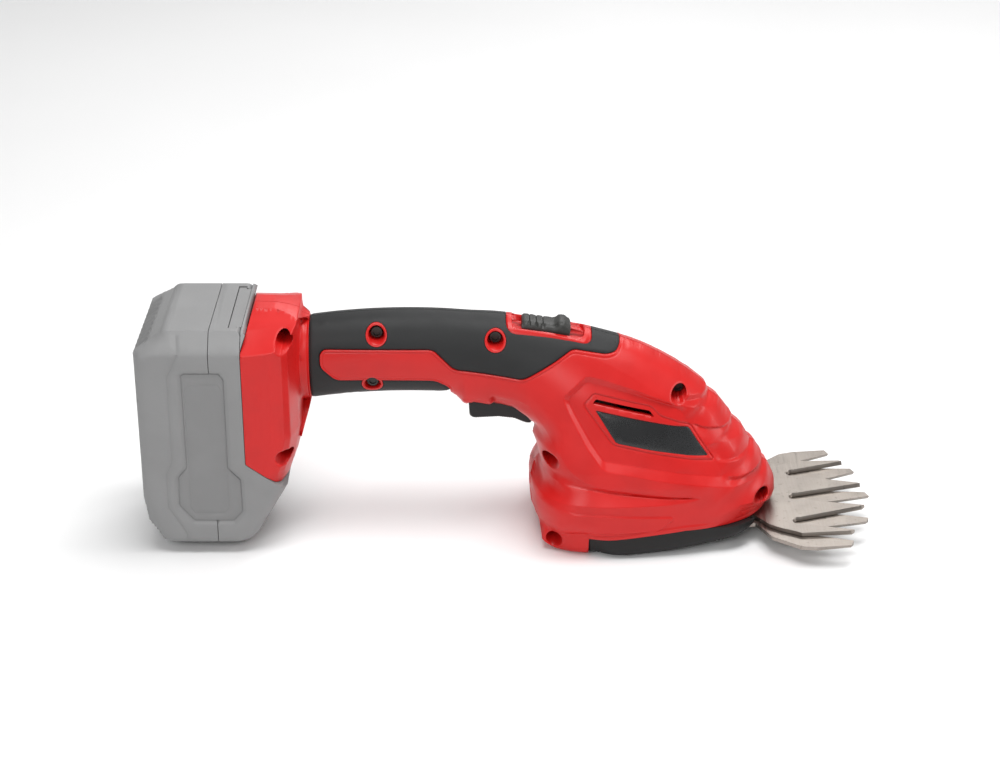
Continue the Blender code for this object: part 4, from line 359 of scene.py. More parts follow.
SIDE_CREASE = points((38, 100), (41.4, 98.6), (52, 94.9), (65.8, 88), (81.4, 78.2))
REAR_MARK = points((20.6, 41.2), (22.4, 40.8))
FOOT_MARKS = points((-119.7, 93.2), (-117.2, 62.5)), points((-109.2, 87.4), (-109.5, 60.4))
COLLAR_RADIUS = 5.2
RECESS_HALF = (18.23, 9.03)
FRAME_HALF = (21.0, 11.0)

# Half widths and edge roundings of the head, each as heights and values
HEAD_WIDTHS = (0, 30, 37, 45, 60, 80, 100, 116), (41, 41, 41, 39.5, 34.5, 28, 21, 17)
HEAD_ROUNDS = (20, 40, 60, 80, 100), (53, 46, 37, 29, 24)


def softened(loop, radius, closed_loop=True, steps=4):
    """The same line with its corners rounded off."""
    loop = np.asarray(loop, dtype=float)
    count = len(loop)
    out = []
    for i in range(count):
        if not closed_loop and i in (0, count - 1):
            out.append(loop[i])
            continue
        before, here, after = loop[i - 1], loop[i], loop[(i + 1) % count]
        cut = min(radius, 0.45 * np.linalg.norm(here - before), 0.45 * np.linalg.norm(after - here))
        start = here + (before - here) / np.linalg.norm(before - here) * cut
        end = here + (after - here) / np.linalg.norm(after - here) * cut
        for t in np.linspace(0.0, 1.0, steps + 1):
            out.append((1 - t) ** 2 * start + 2 * t * (1 - t) * here + t ** 2 * end)
    return np.array(out)


def ring(centre, radius, sides=32):
    angle = np.linspace(0.0, 2 * math.pi, sides, endpoint=False)
    return np.column_stack([centre[0] + radius * np.cos(angle), centre[1] + radius * np.sin(angle)])


GRIP_LOOP = softened(GRIP_REGION, 2.6)
PANEL_OUTER_LOOP, PANEL_INNER_LOOP = softened(PANEL_OUTER, 2.0), softened(PANEL_INNER, 1.6)
LABEL_FRAME_LOOP, LABEL_BED_LOOP = softened(LABEL_FRAME, 1.6), softened(LABEL_BED, 1.5)

COWL_STEPS = ((COWL_EDGE, 0.0), (COWL_FOOT, 1.0), (SHELF_RIM, 0.0), (SECOND_EDGE, 0.15), (SECOND_FOOT, 0.75),
              (SECOND_END, 0.0), (THIRD_FOOT, 0.65), (THIRD_RIM, 0.0), (FOURTH_EDGE, 0.0), (FOURTH_FOOT, 1.0),
              (FOURTH_RIM, 0.0))


def height_at(line, x):
    """Height of a line of the side view at x."""
    return np.interp(x, line[:, 0], line[:, 1])


def cowl_share(spots):
    """Depth of the steps across the nose, as a share of the deepest."""
    x, z = spots[:, 0], spots[:, 1]
    depth = np.zeros(len(spots))
    for (upper, start), (lower, end) in zip(COWL_STEPS, COWL_STEPS[1:]):
        top, low = height_at(upper, x), height_at(lower, x)
        share = (top - z) / np.maximum(top - low, 0.05)
        between = (share >= 0) & (share < 1)
        depth = np.where(between, start + (end - start) * share, depth)
    begins = np.interp(z, COWL_START[::-1, 1], COWL_START[::-1, 0])
    return depth * smoothstep(0.0, 3.0, x - begins)


HANDLE_TOP = handle_edge(1, HANDLE_BACK, -15.0)
HANDLE_UNDER = handle_edge(-1, HANDLE_FRONT, HANDLE_BACK)
PLAIN_TOP = spline_line(np.vstack([HANDLE_TOP, HEAD_TOP]), 0.5)


def stepped_top():
    """The top line with the steps of the nose let into it."""
    inward = -left_of(unit(np.gradient(PLAIN_TOP, axis=0)))
    return PLAIN_TOP + inward * (0.8 * size("cowl_step") * cowl_share(PLAIN_TOP))[:, None]


def body_half_width(spots, inset=0.0, top_line=None):
    """Half width of the smooth housing at points of its side view, drawn in by an inset."""
    x, z = spots[:, 0], spots[:, 1]
    top_line = PLAIN_TOP[::4] if top_line is None else top_line
    top_field = np.vstack([handle_edge(1, FOOT_BACK, -97.0, 3), top_line, NOSE_LOWER,
                           points((137, 10), (134, 0))])
    under_field = np.vstack([TRIGGER_MOUTH, HANDLE_UNDER, handle_edge(-1, HANDLE_BACK, FOOT_BACK, 3)])
    rear_field = np.vstack([TRIGGER_MOUTH[1:2], UPPER_REAR[::-1], points((20.3, 20))])
    blend = smoothstep(-20.0, 45.0, x)
    full = HANDLE_HALF_WIDTH + (np.interp(z, *HEAD_WIDTHS) - HANDLE_HALF_WIDTH) * blend - inset
    top_round = HANDLE_HALF_HEIGHT + (np.interp(z, *HEAD_ROUNDS) - HANDLE_HALF_HEIGHT) * blend
    top_share = rounded(line_distance(spots, top_field) - inset, top_round - inset)

    mouth = smoothstep(-21.0, -15.0, x)
    under_round = HANDLE_HALF_HEIGHT + (UNDER_ROUND - HANDLE_HALF_HEIGHT) * mouth
    from_under = line_distance(spots, under_field) - inset
    under_share = 0.55 * mouth + (1 - 0.55 * mouth) * rounded(from_under, under_round - inset)
    rear_x = np.interp(z, UPPER_REAR[:, 1], UPPER_REAR[:, 0])
    behind = (x < rear_x) & (z < UPPER_REAR[-1, 1])
    from_rear = np.where(behind, 0.0, line_distance(spots, rear_field) - inset)
    upper = full * top_share * under_share * rounded(from_rear, 16.0 - inset, 2.6)

    from_base = line_distance(spots, BASE_REAR) - inset
    step = BASE_STEP * (1 - smoothstep(55.0, 100.0, x))
    base = (HEAD_HALF_WIDTH + step - inset) * rounded(from_base, 25.0 - inset, 2.4) * top_share
    ledge_top, ledge_low = height_at(LEDGE_UPPER, x), height_at(LEDGE_LOWER, x)
    share = np.where(x > 0.0, np.clip((ledge_top - z) / (ledge_top - ledge_low), 0.0, 1.0), 0.0)
    head = upper + (np.maximum(base, upper) - upper) * share

    bow = smoothstep(108.0, 133.0, x)
    flat = 0.86 - 0.36 * bow
    floor_share = flat + (1 - flat) * rounded(z - height_at(SOLE_BOTTOM, x) - inset, 6.0 + 3.0 * bow)
    head = head * np.where(x > 0.0, floor_share, 1.0)

    shoulder = roof_width(x, z) - inset
    front_x = foot_front(z) - inset
    flare = np.interp(front_x - x, FOOT_FACETS[:, 0], FOOT_FACETS[:, 1]) - inset
    foot = np.where(x < front_x, np.minimum(shoulder, flare), 0.0)
    head = head * smoothstep(-104.0, -98.5, x)
    return smooth_max(head, np.maximum(foot, 0.0), 4.0)


def roof_knots(x):
    """Heights and half widths of the three creases of the foot's roof at x."""
    share = np.clip((np.asarray(x, dtype=float) - FOOT_BACK) / (FOOT_FRONT - FOOT_BACK), 0.0, 1.0)
    return FOOT_ROOF_BACK + (FOOT_ROOF_FRONT - FOOT_ROOF_BACK) * share[..., None, None]


def roof_width(x, z):
    """Half width of the foot under its creased roof."""
    knots = roof_knots(x)
    low, middle, high = (knots[:, k, 0] for k in range(3))
    wide, half, narrow = (knots[:, k, 1] for k in range(3))
    lower = wide + (half - wide) * np.clip((z - low) / (middle - low), 0.0, 1.0)
    upper = half + (narrow - half) * np.clip((z - middle) / (high - middle), 0.0, 1.0)
    return np.where(z < middle, lower, upper)


def foot_front(z):
    """Where the foot's front face is at a height."""
    return np.interp(z, *FOOT_FRONT_PLACES)


def groove(distance, half):
    """Share of a groove's depth at a distance from its middle line."""
    return np.clip(1.0 - distance / half, 0.0, 1.0)


def panel_relief(spots):
    """The head's side panel, the line round its label, the label's bed and the crease above."""
    in_outer, in_inner = inside(spots, PANEL_OUTER_LOOP), inside(spots, PANEL_INNER_LOOP)
    to_outer = line_distance(spots, closed(PANEL_OUTER_LOOP))
    to_inner = line_distance(spots, closed(PANEL_INNER_LOOP))
    share = np.where(in_inner, 1.0, np.where(in_outer, to_outer / np.maximum(to_outer + to_inner, 1e-6), 0.0))
    yield size("panel_depth") * share
    yield size("groove_depth") * groove(line_distance(spots, closed(LABEL_FRAME_LOOP)), 0.5)
    bed_line = line_distance(spots, closed(LABEL_BED_LOOP))
    yield size("label_depth") * np.where(inside(spots, LABEL_BED_LOOP), np.clip(bed_line / 0.15, 0, 1), 0.0)
    yield -0.35 * groove(line_distance(spots, SIDE_CREASE), 6.0)


def rear_relief(spots):
    """The fall behind the flank's edge, and the hollow over the base."""
    x, z = spots[:, 0], spots[:, 1]
    edge_x = np.interp(z, FLANK_EDGE[::-1, 1], FLANK_EDGE[::-1, 0])
    behind = np.clip((edge_x - x) * 0.78, 0.0, 30.0)
    reach = smoothstep(38.5, 42.0, z) * (1 - smoothstep(74.0, 78.0, z))
    yield np.where(x > -4.0, np.minimum(0.22 * behind, 3.0), 0.0) * reach

    toe, valley, ledge = height_at(TOE, x), height_at(VALLEY, x), height_at(LEDGE_UPPER, x)
    fall = np.clip((toe - z) / np.maximum(toe - valley, 0.3), 0.0, 1.0)
    rise = np.clip((valley - z) / np.maximum(valley - ledge, 0.3), 0.0, 1.0)
    toe_span = smoothstep(27.0, 36.0, x) * (1 - smoothstep(92.0, 99.0, x))
    yield 1.1 * fall * (1 - rise) * toe_span


def base_relief(spots):
    """The raised band and rim of the base, the ribs beside the nose screw and a short mark behind."""
    x, z = spots[:, 0], spots[:, 1]
    band_line = line_distance(spots, BASE_BAND)
    band = 0.7 * np.clip(band_line / 0.5, 0, 1) * smoothstep(31.0, 38.0, x)
    yield -np.where(inside(spots, BASE_BAND), band, 0.0)
    rim_span = smoothstep(30.0, 36.0, x) * (1 - smoothstep(96.0, 110.0, x))
    yield -0.55 * smoothstep(0.0, 0.5, height_at(BASE_RIM, x) - z) * rim_span
    for rib in NOSE_RIBS:
        yield size("rib_depth") * groove(line_distance(spots, rib), 0.55)
    yield 0.45 * groove(line_distance(spots, REAR_MARK), 0.45)


def edge_relief(spots):
    """The lip round the rubber, the rims of the screw wells and the marks on the foot."""
    lip_line = line_distance(spots, closed(GRIP_LOOP))
    bead = (1 - smoothstep(0.75, 1.05, lip_line)) - 0.8 * groove(np.abs(lip_line - 1.35), 0.3)
    yield -np.where(~inside(spots, GRIP_LOOP), size("lip_height") * bead, 0.0)
    for place in WELL_PLACES.values():
        radius = np.hypot(spots[:, 0] - place[0], spots[:, 1] - place[1])
        yield 0.6 * np.clip((4.7 - radius) / 0.8, 0.0, 1.0)
    for mark in FOOT_MARKS:
        yield 0.35 * groove(line_distance(spots, mark), 1.2)


def moulded_depth(spots):
    """How far the moulded details of the flank lie below the smooth body; raised ones are negative."""
    depth = size("cowl_step") * cowl_share(spots)
    for relief in (panel_relief, rear_relief, base_relief, edge_relief):
        for part in relief(spots):
            depth += part
    return depth


def skin_half_width(spots, top_line):
    """Half width of the housing with its moulded details."""
    smooth = body_half_width(spots, 0.0, top_line)
    return smooth - moulded_depth(spots) * np.clip(smooth / 6.0, 0.0, 1.0)


def flank_lines():
    """Lines that the flank's triangles follow."""
    lines = [PANEL_OUTER_LOOP, PANEL_INNER_LOOP, LABEL_FRAME_LOOP, LABEL_BED_LOOP,
             inset_loop(LABEL_BED_LOOP, 0.15), inset_loop(LABEL_FRAME_LOOP, 0.5),
             inset_loop(LABEL_FRAME_LOOP, -0.5)]
    lines += [inset_loop(GRIP_LOOP, -amount) for amount in (0.75, 1.05, 1.35, 1.65)]
    lines = [closed(line) for line in lines]
    lines += [line for line, _ in COWL_STEPS]
    lines += [TOE, VALLEY, LEDGE_UPPER[1:] + points((-0.5, 0)), LEDGE_LOWER[1:], FLANK_EDGE, BASE_BAND,
              BASE_RIM, BASE_RIM - points((0, 0.5)), inset_loop(BASE_BAND, 0.5)[1:-1], SIDE_CREASE[1:]]
    for rib in NOSE_RIBS:
        lines += [rib, rib + points((0, 0.55)), rib - points((0, 0.55))]
    for place in WELL_PLACES.values():
        lines += [closed(ring(place, 4.7)), closed(ring(place, 3.8, 24))]
    heights = np.linspace(44.0, 119.5, 40)
    for back in (0.3, 1.2, 4.5, 7.3):
        lines.append(np.column_stack([foot_front(heights) - back, heights]))
    for back, front in zip(FOOT_ROOF_BACK[:, 0], FOOT_ROOF_FRONT[:, 0]):
        lines.append(points((FOOT_BACK + 0.4, back), (FOOT_FRONT - 0.5, front)))
    widths = np.linspace(8.7, 37.9, 24)
    corner_x = FOOT_FRONT - np.interp(widths, FOOT_FACETS[:, 1], FOOT_FACETS[:, 0])
    corner_z = [np.interp(wide, knots[::-1, 1], knots[::-1, 0])
                for wide, knots in zip(widths, roof_knots(corner_x))]
    lines.append(np.column_stack([corner_x, corner_z]))
    return [cornered_line(line, 1.1) for line in lines]


def housing_outline():
    """Closed side view of the red shells, with flags of -1 where they are open to the sole."""
    top = stepped_top()
    handle, nose = top[top[:, 0] < 84.0], top[top[:, 0] >= 84.0]
    parts = [
        (cornered_line(np.vstack([HANDLE_UNDER[-1:], FOOT_FRONT_LINE]), 1.6)[:-1], 1),
        (cornered_line(softened(FOOT_SIDE, 0.8, False), 2.0), 1),
        (even_line(handle, 1.4)[1:], 1),
        (nose[1:], 1),
        (cornered_line(NOSE_LOWER, 0.8)[1:], 1),
        (cornered_line(SOLE_EDGE, 2.0), -1),
        (points((44, 0)), 1),
        (spline_line(BASE_REAR, 1.4), 1),
        (cornered_line(UPPER_REAR, 1.3)[1:-1], 1),
        (cornered_line(softened(TRIGGER_MOUTH, 1.2, False), 1.2), 1),
        (even_line(HANDLE_UNDER, 1.5)[:-1], 1),
    ]
    flags = np.concatenate([[flag] * len(part) for part, flag in parts])
    return np.vstack([part for part, _ in parts]), flags


# Meshes from side views

def ribbon(outline, distance, spacing):
    """Points a set distance in from the outline."""
    loop = even_line(closed(outline), max(spacing, 0.4))[:-1]
    ahead, back = loop_sides(loop)
    normal = unit(left_of(ahead + back)) * winding(loop)
    spots = loop + normal * distance
    keep = inside(spots, outline) & (line_distance(spots, closed(outline)) > 0.93 * distance)
    return spots[keep]


def clipped_lines(lines, outline, margin=0.3):
    """The parts of the lines that lie well inside the outline."""
    out = []
    for line in lines:
        keep = inside(line, outline) & (line_distance(line, closed(outline)) > margin)
        start = None
        for i, good in enumerate(np.append(keep, False)):
            if good and start is None:
                start = i
            if not good and start is not None:
                if i - start > 1:
                    out.append(line[start:i])
                start = None
    return out


def thinned(spots, reach, taken):
    """Spots that keep a distance from those already taken."""
    if not len(taken) or not len(spots):
        return spots
    tree = KDTree(len(taken))
    for i, spot in enumerate(taken):
        tree.insert((spot[0], spot[1], 0.0), i)
    tree.balance()
    keep = [tree.find((spot[0], spot[1], 0.0))[2] > reach for spot in spots]
    return spots[np.array(keep)]


def triangulated(outline, lines=(), rows=(), grid=9.0, side=0.0):
    """Triangles over an outline that follow the lines, with ribbons of points along its edge."""
    lines = clipped_lines(lines, outline)
    taken = np.vstack([outline] + [np.asarray(line) for line in lines])
    loose = []
    if side:
        for line in lines:
            across = left_of(unit(np.gradient(line, axis=0))) * side
            for sign in (-1, 1):
                beside = line + sign * across
                beside = beside[inside(beside, outline) & (line_distance(beside, closed(outline)) > 0.3)]
                loose.append(thinned(beside, side * 0.7, np.vstack([taken] + loose)))
    for distance, spacing in rows:
        spots = ribbon(outline, distance, spacing)
        loose.append(thinned(spots, min(0.6 * spacing, 0.8 * distance + 0.1), np.vstack([taken] + loose)))
    low, high = outline.min(axis=0), outline.max(axis=0)
    across, up = np.meshgrid(np.arange(low[0], high[0], grid), np.arange(low[1], high[1], grid * 0.87))
    across = across + (np.arange(across.shape[0]) % 2)[:, None] * grid / 2
    spots = np.column_stack([across.ravel(), up.ravel()])
    last = rows[-1][0] if rows else 0.0
    spots = spots[inside(spots, outline)]
    spots = spots[line_distance(spots, closed(outline)) > last + grid * 0.4]
    loose.append(thinned(spots, 0.6 * grid, np.vstack([taken] + loose)))
    count = len(outline)
    places = [Vector(p) for p in outline]
    edges = [(i, (i + 1) % count) for i in range(count)]
    for line in lines:
        start = len(places)
        places += [Vector(p) for p in line]
        edges += [(start + i, start + i + 1) for i in range(len(line) - 1)]
    places += [Vector(p) for group in loose for p in group]
    result = delaunay_2d_cdt(places, edges, [], 1, 1e-4)
    return np.array([tuple(v) for v in result[0]]), [tuple(f) for f in result[2]]


def rim_edges(triangles):
    """Edges that only one triangle has."""
    counts = {}
    for a, b, c in triangles:
        for edge in ((a, b), (b, c), (c, a)):
            key = (min(edge), max(edge))
            counts[key] = counts.get(key, 0) + 1
    return [edge for edge, count in counts.items() if count == 1]


def rim_loop(rim):
    """The rim's points in the order in which they follow each other."""
    follow = {}
    for a, b in rim:
        follow.setdefault(a, []).append(b)
        follow.setdefault(b, []).append(a)
    loop, previous = [rim[0][0]], None
    while True:
        ahead = [v for v in follow[loop[-1]] if v != previous]
        previous = loop[-1]
        if ahead[0] == loop[0]:
            return loop
        loop.append(ahead[0])


def ring_faces(count, rings):
    """Side faces between rings of equal count that follow each other."""
    faces = []
    for ring_start in range(0, (rings - 1) * count, count):
        for i in range(count):
            here, ahead = ring_start + i, ring_start + (i + 1) % count
            faces.append((here, ahead, ahead + count, here + count))
    return faces


def lifted(outline, width, back, lines=(), rows=(), grid=9.0, both=False, side=0.0):
    """Vertices and faces of a solid whose flank follows the width on the -Y side.

    Its other side is flat at y = back, or mirrors the flank when both is set.
    """
    flat, triangles = triangulated(outline, lines, rows, grid, side)
    half = np.maximum(width(flat), 0.0)
    if not both:
        half = np.maximum(half, -back)
    vertices = [(x, -w, z) for (x, z), w in zip(flat, half)]
    rim = rim_edges(triangles)
    on_rim = {v for edge in rim for v in edge}
    twin = {}
    for i in range(len(flat)) if both else sorted(on_rim):
        closes = half[i] < 0.02 if both else half[i] + back < 0.02
        if i in on_rim and closes:
            twin[i] = i
        else:
            twin[i] = len(vertices)
            vertices.append((flat[i][0], half[i] if both else back, flat[i][1]))
    faces = [tuple(t) for t in triangles]
    if both:
        faces += [tuple(twin[v] for v in reversed(t)) for t in triangles]
    else:
        faces.append(tuple(twin[v] for v in rim_loop(rim)))
    for a, b in rim:
        corners = []
        for v in (a, b, twin[b], twin[a]):
            if v not in corners:
                corners.append(v)
        if len(corners) > 2:
            faces.append(tuple(corners))
    return vertices, faces


def prism(outline, low, high, axis="Y"):
    """Vertices and faces of an outline extruded along Y (from X, Z) or along Z (from X, Y)."""
    count = len(outline)
    if axis == "Y":
        vertices = [(a, level, b) for level in (low, high) for a, b in outline]
    else:
        vertices = [(a, b, level) for level in (low, high) for a, b in outline]
    return vertices, ring_faces(count, 2) + [tuple(range(count)), tuple(range(count, 2 * count))]


def box(low, high):
    """Vertices and faces of an upright box between two corners."""
    plan = [(low[0], low[1]), (high[0], low[1]), (high[0], high[1]), (low[0], high[1])]
    return prism(plan, low[2], high[2], "Z")


def rectangle(half_length, half_width):
    return points((-half_length, -half_width), (half_length, -half_width), (half_length, half_width),
                  (-half_length, half_width))


def side_frame(spot, along, out):
    """A function from a tilted frame (along, sideways, out of it) at a spot to the side view's axes."""
    def place(vertices):
        v = np.asarray(vertices, dtype=float)
        return np.column_stack([spot[0] + along[0] * v[:, 0] + out[0] * v[:, 2], v[:, 1],
                                spot[1] + along[1] * v[:, 0] + out[1] * v[:, 2]])
    return place


blade_frame = side_frame(PIVOT, (math.cos(BLADE_PITCH), math.sin(BLADE_PITCH)),
                         (-math.sin(BLADE_PITCH), math.cos(BLADE_PITCH)))
slide_frame = side_frame(SLIDE_PLACE, (math.cos(SLIDE_TILT), -math.sin(SLIDE_TILT)),
                         (math.sin(SLIDE_TILT), math.cos(SLIDE_TILT)))


@contextmanager
def edited(mesh):
    """The mesh in a form that can be edited, written back at the end."""
    edit = bmesh.new()
    edit.from_mesh(mesh)
    yield edit
    edit.to_mesh(mesh)
    edit.free()


def placed(name, data):
    """A new object in the scene."""
    item = bpy.data.objects.new(name, data)
    bpy.context.scene.collection.objects.link(item)
    return item


def piece(name, shape, tilted=None):
    """A mesh object in the frame's own metres, from a shape's millimetres and the tilted frame it is in."""
    vertices, faces = shape
    if tilted is not None:
        vertices = tilted(vertices)
    v = np.asarray(vertices, dtype=float) * MM
    v[:, 0] += SHIFT * MM
    mesh = bpy.data.meshes.new(name)
    mesh.from_pydata(v.tolist(), [], [tuple(int(i) for i in f) for f in faces])
    with edited(mesh) as edit:
        bmesh.ops.remove_doubles(edit, verts=edit.verts, dist=1e-6)
        bmesh.ops.recalc_face_normals(edit, faces=edit.faces)
    return placed(name, mesh)


def cad_copy(node):
    """A welded copy of a CAD node's shape, to cut with."""
    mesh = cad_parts[node].data.copy()
    mesh.materials.clear()
    with edited(mesh) as edit:
        bmesh.ops.remove_doubles(edit, verts=edit.verts, dist=WELD)
    return placed("copy", mesh)


def weld(edit):
    bmesh.ops.remove_doubles(edit, verts=edit.verts, dist=WELD)
    bmesh.ops.dissolve_degenerate(edit, edges=edit.edges, dist=1e-6)


def cut(target, tool, operation="DIFFERENCE"):
    """Apply one exact Boolean, weld what it leaves and drop the tool."""
    modifier = target.modifiers.new("cut", "BOOLEAN")
    modifier.operation = operation
    modifier.solver = "EXACT"
    modifier.object = tool
    bpy.context.view_layer.update()
    graph = bpy.context.evaluated_depsgraph_get()
    result = bpy.data.meshes.new_from_object(target.evaluated_get(graph))
    target.modifiers.clear()
    with edited(result) as edit:
        weld(edit)
    target.data = result
    bpy.data.objects.remove(tool, do_unlink=True)


def joined(tools):
    """One object out of several that don't touch."""
    mesh = bpy.data.meshes.new("tools")
    with edited(mesh) as edit:
        for tool in tools:
            edit.from_mesh(tool.data)
            bpy.data.objects.remove(tool, do_unlink=True)
    return placed("tools", mesh)


def doubled(item):
    """A second object with a mesh of its own."""
    twin = item.copy()
    twin.data = item.data.copy()
    bpy.context.scene.collection.objects.link(twin)
    return twin


def flipped(item):
    """The piece itself, turned into its mirror image across the middle plane."""
    item.data.transform(Matrix.Diagonal((1.0, -1.0, 1.0, 1.0)))
    item.data.flip_normals()
    return item


def largest_body(item):
    """Weld the mesh and drop crumbs that a cut left loose."""
    with edited(item.data) as edit:
        weld(edit)
        seen, groups = set(), []
        for vertex in edit.verts:
            if vertex in seen:
                continue
            group, stack = [], [vertex]
            seen.add(vertex)
            while stack:
                here = stack.pop()
                group.append(here)
                for edge in here.link_edges:
                    other = edge.other_vert(here)
                    if other not in seen:
                        seen.add(other)
                        stack.append(other)
            groups.append(group)
        groups.sort(key=len, reverse=True)
        for group in groups[1:]:
            if len(group) < 0.01 * len(groups[0]):
                bmesh.ops.delete(edit, geom=group, context="VERTS")


def finished(item, name, material, body, nodes, angle=32.0):
    """Name and shade a piece, attach it to its body and hide the CAD nodes it stands for."""
    item.name = name
    item.data.name = name
    item.data.materials.clear()
    item.data.materials.append(material)
    item.data.shade_smooth()
    item.data.set_sharp_from_angle(angle=math.radians(angle))
    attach(item, body)
    if nodes:
        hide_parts(*nodes)
    return item


# Shader nodes with plain arithmetic

class Wire:
    """An output socket that can be added and multiplied like a number."""

    def __init__(self, maker, socket):
        self.maker, self.socket = maker, socket

    def _calculate(self, operation, a, b):
        vector = any(isinstance(v, Wire) and v.socket.type in ("VECTOR", "RGBA") for v in (a, b))
        kind = "ShaderNodeVectorMath" if vector else "ShaderNodeMath"
        return self.maker.node(kind, {"operation": operation}, {0: a, 1: b})

    def __add__(self, other):
        return self._calculate("ADD", self, other)

    def __radd__(self, other):
        return self._calculate("ADD", other, self)

    def __mul__(self, other):
        return self._calculate("MULTIPLY", self, other)

    def __rmul__(self, other):
        return self._calculate("MULTIPLY", other, self)


class Maker:
    """Builds one material's nodes."""

    def __init__(self, name):
        self.material = bpy.data.materials.new(name)
        self.material.use_nodes = True
        self.tree = self.material.node_tree
        self.shader = self.tree.nodes["Principled BSDF"]
        self.place = self.node("ShaderNodeTexCoord", output="Object")

    def put(self, socket, value):
        if isinstance(value, Wire):
            self.tree.links.new(value.socket, socket)
        elif isinstance(value, (tuple, list)) and len(value) == 3 and socket.type == "RGBA":
            socket.default_value = (*value, 1.0)
        elif not isinstance(value, (tuple, list)) and socket.type == "VECTOR":
            socket.default_value = (value, value, value)
        else:
            socket.default_value = value

    def node(self, kind, settings=None, values=None, output=0):
        """Any node, with its settings, its socket values or links, and one output."""
        made = self.tree.nodes.new(kind)
        for key, value in (settings or {}).items():
            setattr(made, key, value)
        for key, value in (values or {}).items():
            self.put(made.inputs[key], value)
        return Wire(self, made.outputs[output])

    def noise(self, scale, detail=2.0, place=None):
        return self.node("ShaderNodeTexNoise", None,
                         {"Vector": place or self.place, "Scale": scale, "Detail": detail})

    def remap(self, value, low, high, to_low, to_high):
        return self.node("ShaderNodeMapRange", {"interpolation_type": "SMOOTHSTEP"},
                         {"Value": value, "From Min": low, "From Max": high, "To Min": to_low,
                          "To Max": to_high})

    def mix(self, share, a, b):
        made = self.tree.nodes.new("ShaderNodeMix")
        made.data_type = "RGBA"
        for socket, value in ((made.inputs[0], share), (made.inputs[6], a), (made.inputs[7], b)):
            self.put(socket, value)
        return Wire(self, made.outputs[2])

    def bump(self, height, distance, strength):
        return self.node("ShaderNodeBump", None,
                         {"Height": height, "Distance": distance, "Strength": strength})

    def set(self, **values):
        for name, value in values.items():
            self.put(self.shader.inputs[name.replace("_", " ")], value)
        return self.material


def darker(base, share):
    return tuple(share * c for c in base)


def textured_plastic(base, rough, grain=0.00002, scale=2600.0, sparkle=0.1, wear=0.06, shine=0.5):
    """Spark-eroded plastic: a fine grain, slightly uneven gloss and faint handling marks."""
    m = Maker("plastic")
    fine = m.noise(scale, 2.0)
    broad = m.noise(38.0, 3.0)
    uneven = m.remap(broad, 0.35, 0.65, 1.0 - wear, 1.0 + wear)
    tone = m.node("ShaderNodeVectorMath", {"operation": "SCALE"}, {0: base, "Scale": uneven})
    glints = m.remap(fine, 0.45, 0.7, 0.0, -sparkle)
    gloss = m.remap(broad, 0.3, 0.7, rough - 0.03, rough + 0.05) + glints
    return m.set(Base_Color=tone, Roughness=gloss, Normal=m.bump(fine, grain, 0.7), Specular_IOR_Level=shine)


def ground_steel(base, rough, stain):
    """Ground steel, brushed along X, with spots of tarnish."""
    m = Maker("steel")
    stretched = m.node("ShaderNodeVectorMath", {"operation": "MULTIPLY"},
                       {0: m.place, 1: (900.0, 60.0, 60.0)})
    lines = m.noise(1.0, 3.0, stretched)
    cloud = m.noise(70.0, 4.0)
    tone = m.mix(m.remap(cloud, 0.3, 0.7, 0.0, 1.0), darker(base, 0.92), darker(base, 1.06))
    gloss = m.remap(lines, 0.3, 0.7, rough - 0.06, rough + 0.08)
    spots = m.remap(m.noise(420.0, 5.0), 0.6, 0.7, 0.0, stain)
    tone = m.mix(spots, tone, darker(base, 0.55))
    return m.set(Base_Color=tone, Roughness=gloss + spots * 0.2, Metallic=1.0,
                 Normal=m.bump(lines, 0.00001, 0.6))


def plain_metal(base, rough):
    """Bare metal with a faint cloud and fine scratches."""
    m = Maker("metal")
    cloud = m.noise(160.0, 3.0)
    return m.set(Base_Color=m.mix(cloud, darker(base, 0.9), base), Metallic=1.0,
                 Roughness=m.remap(cloud, 0.3, 0.7, rough - 0.04, rough + 0.06),
                 Normal=m.bump(m.noise(1500.0, 1.0), 0.000006, 0.5))


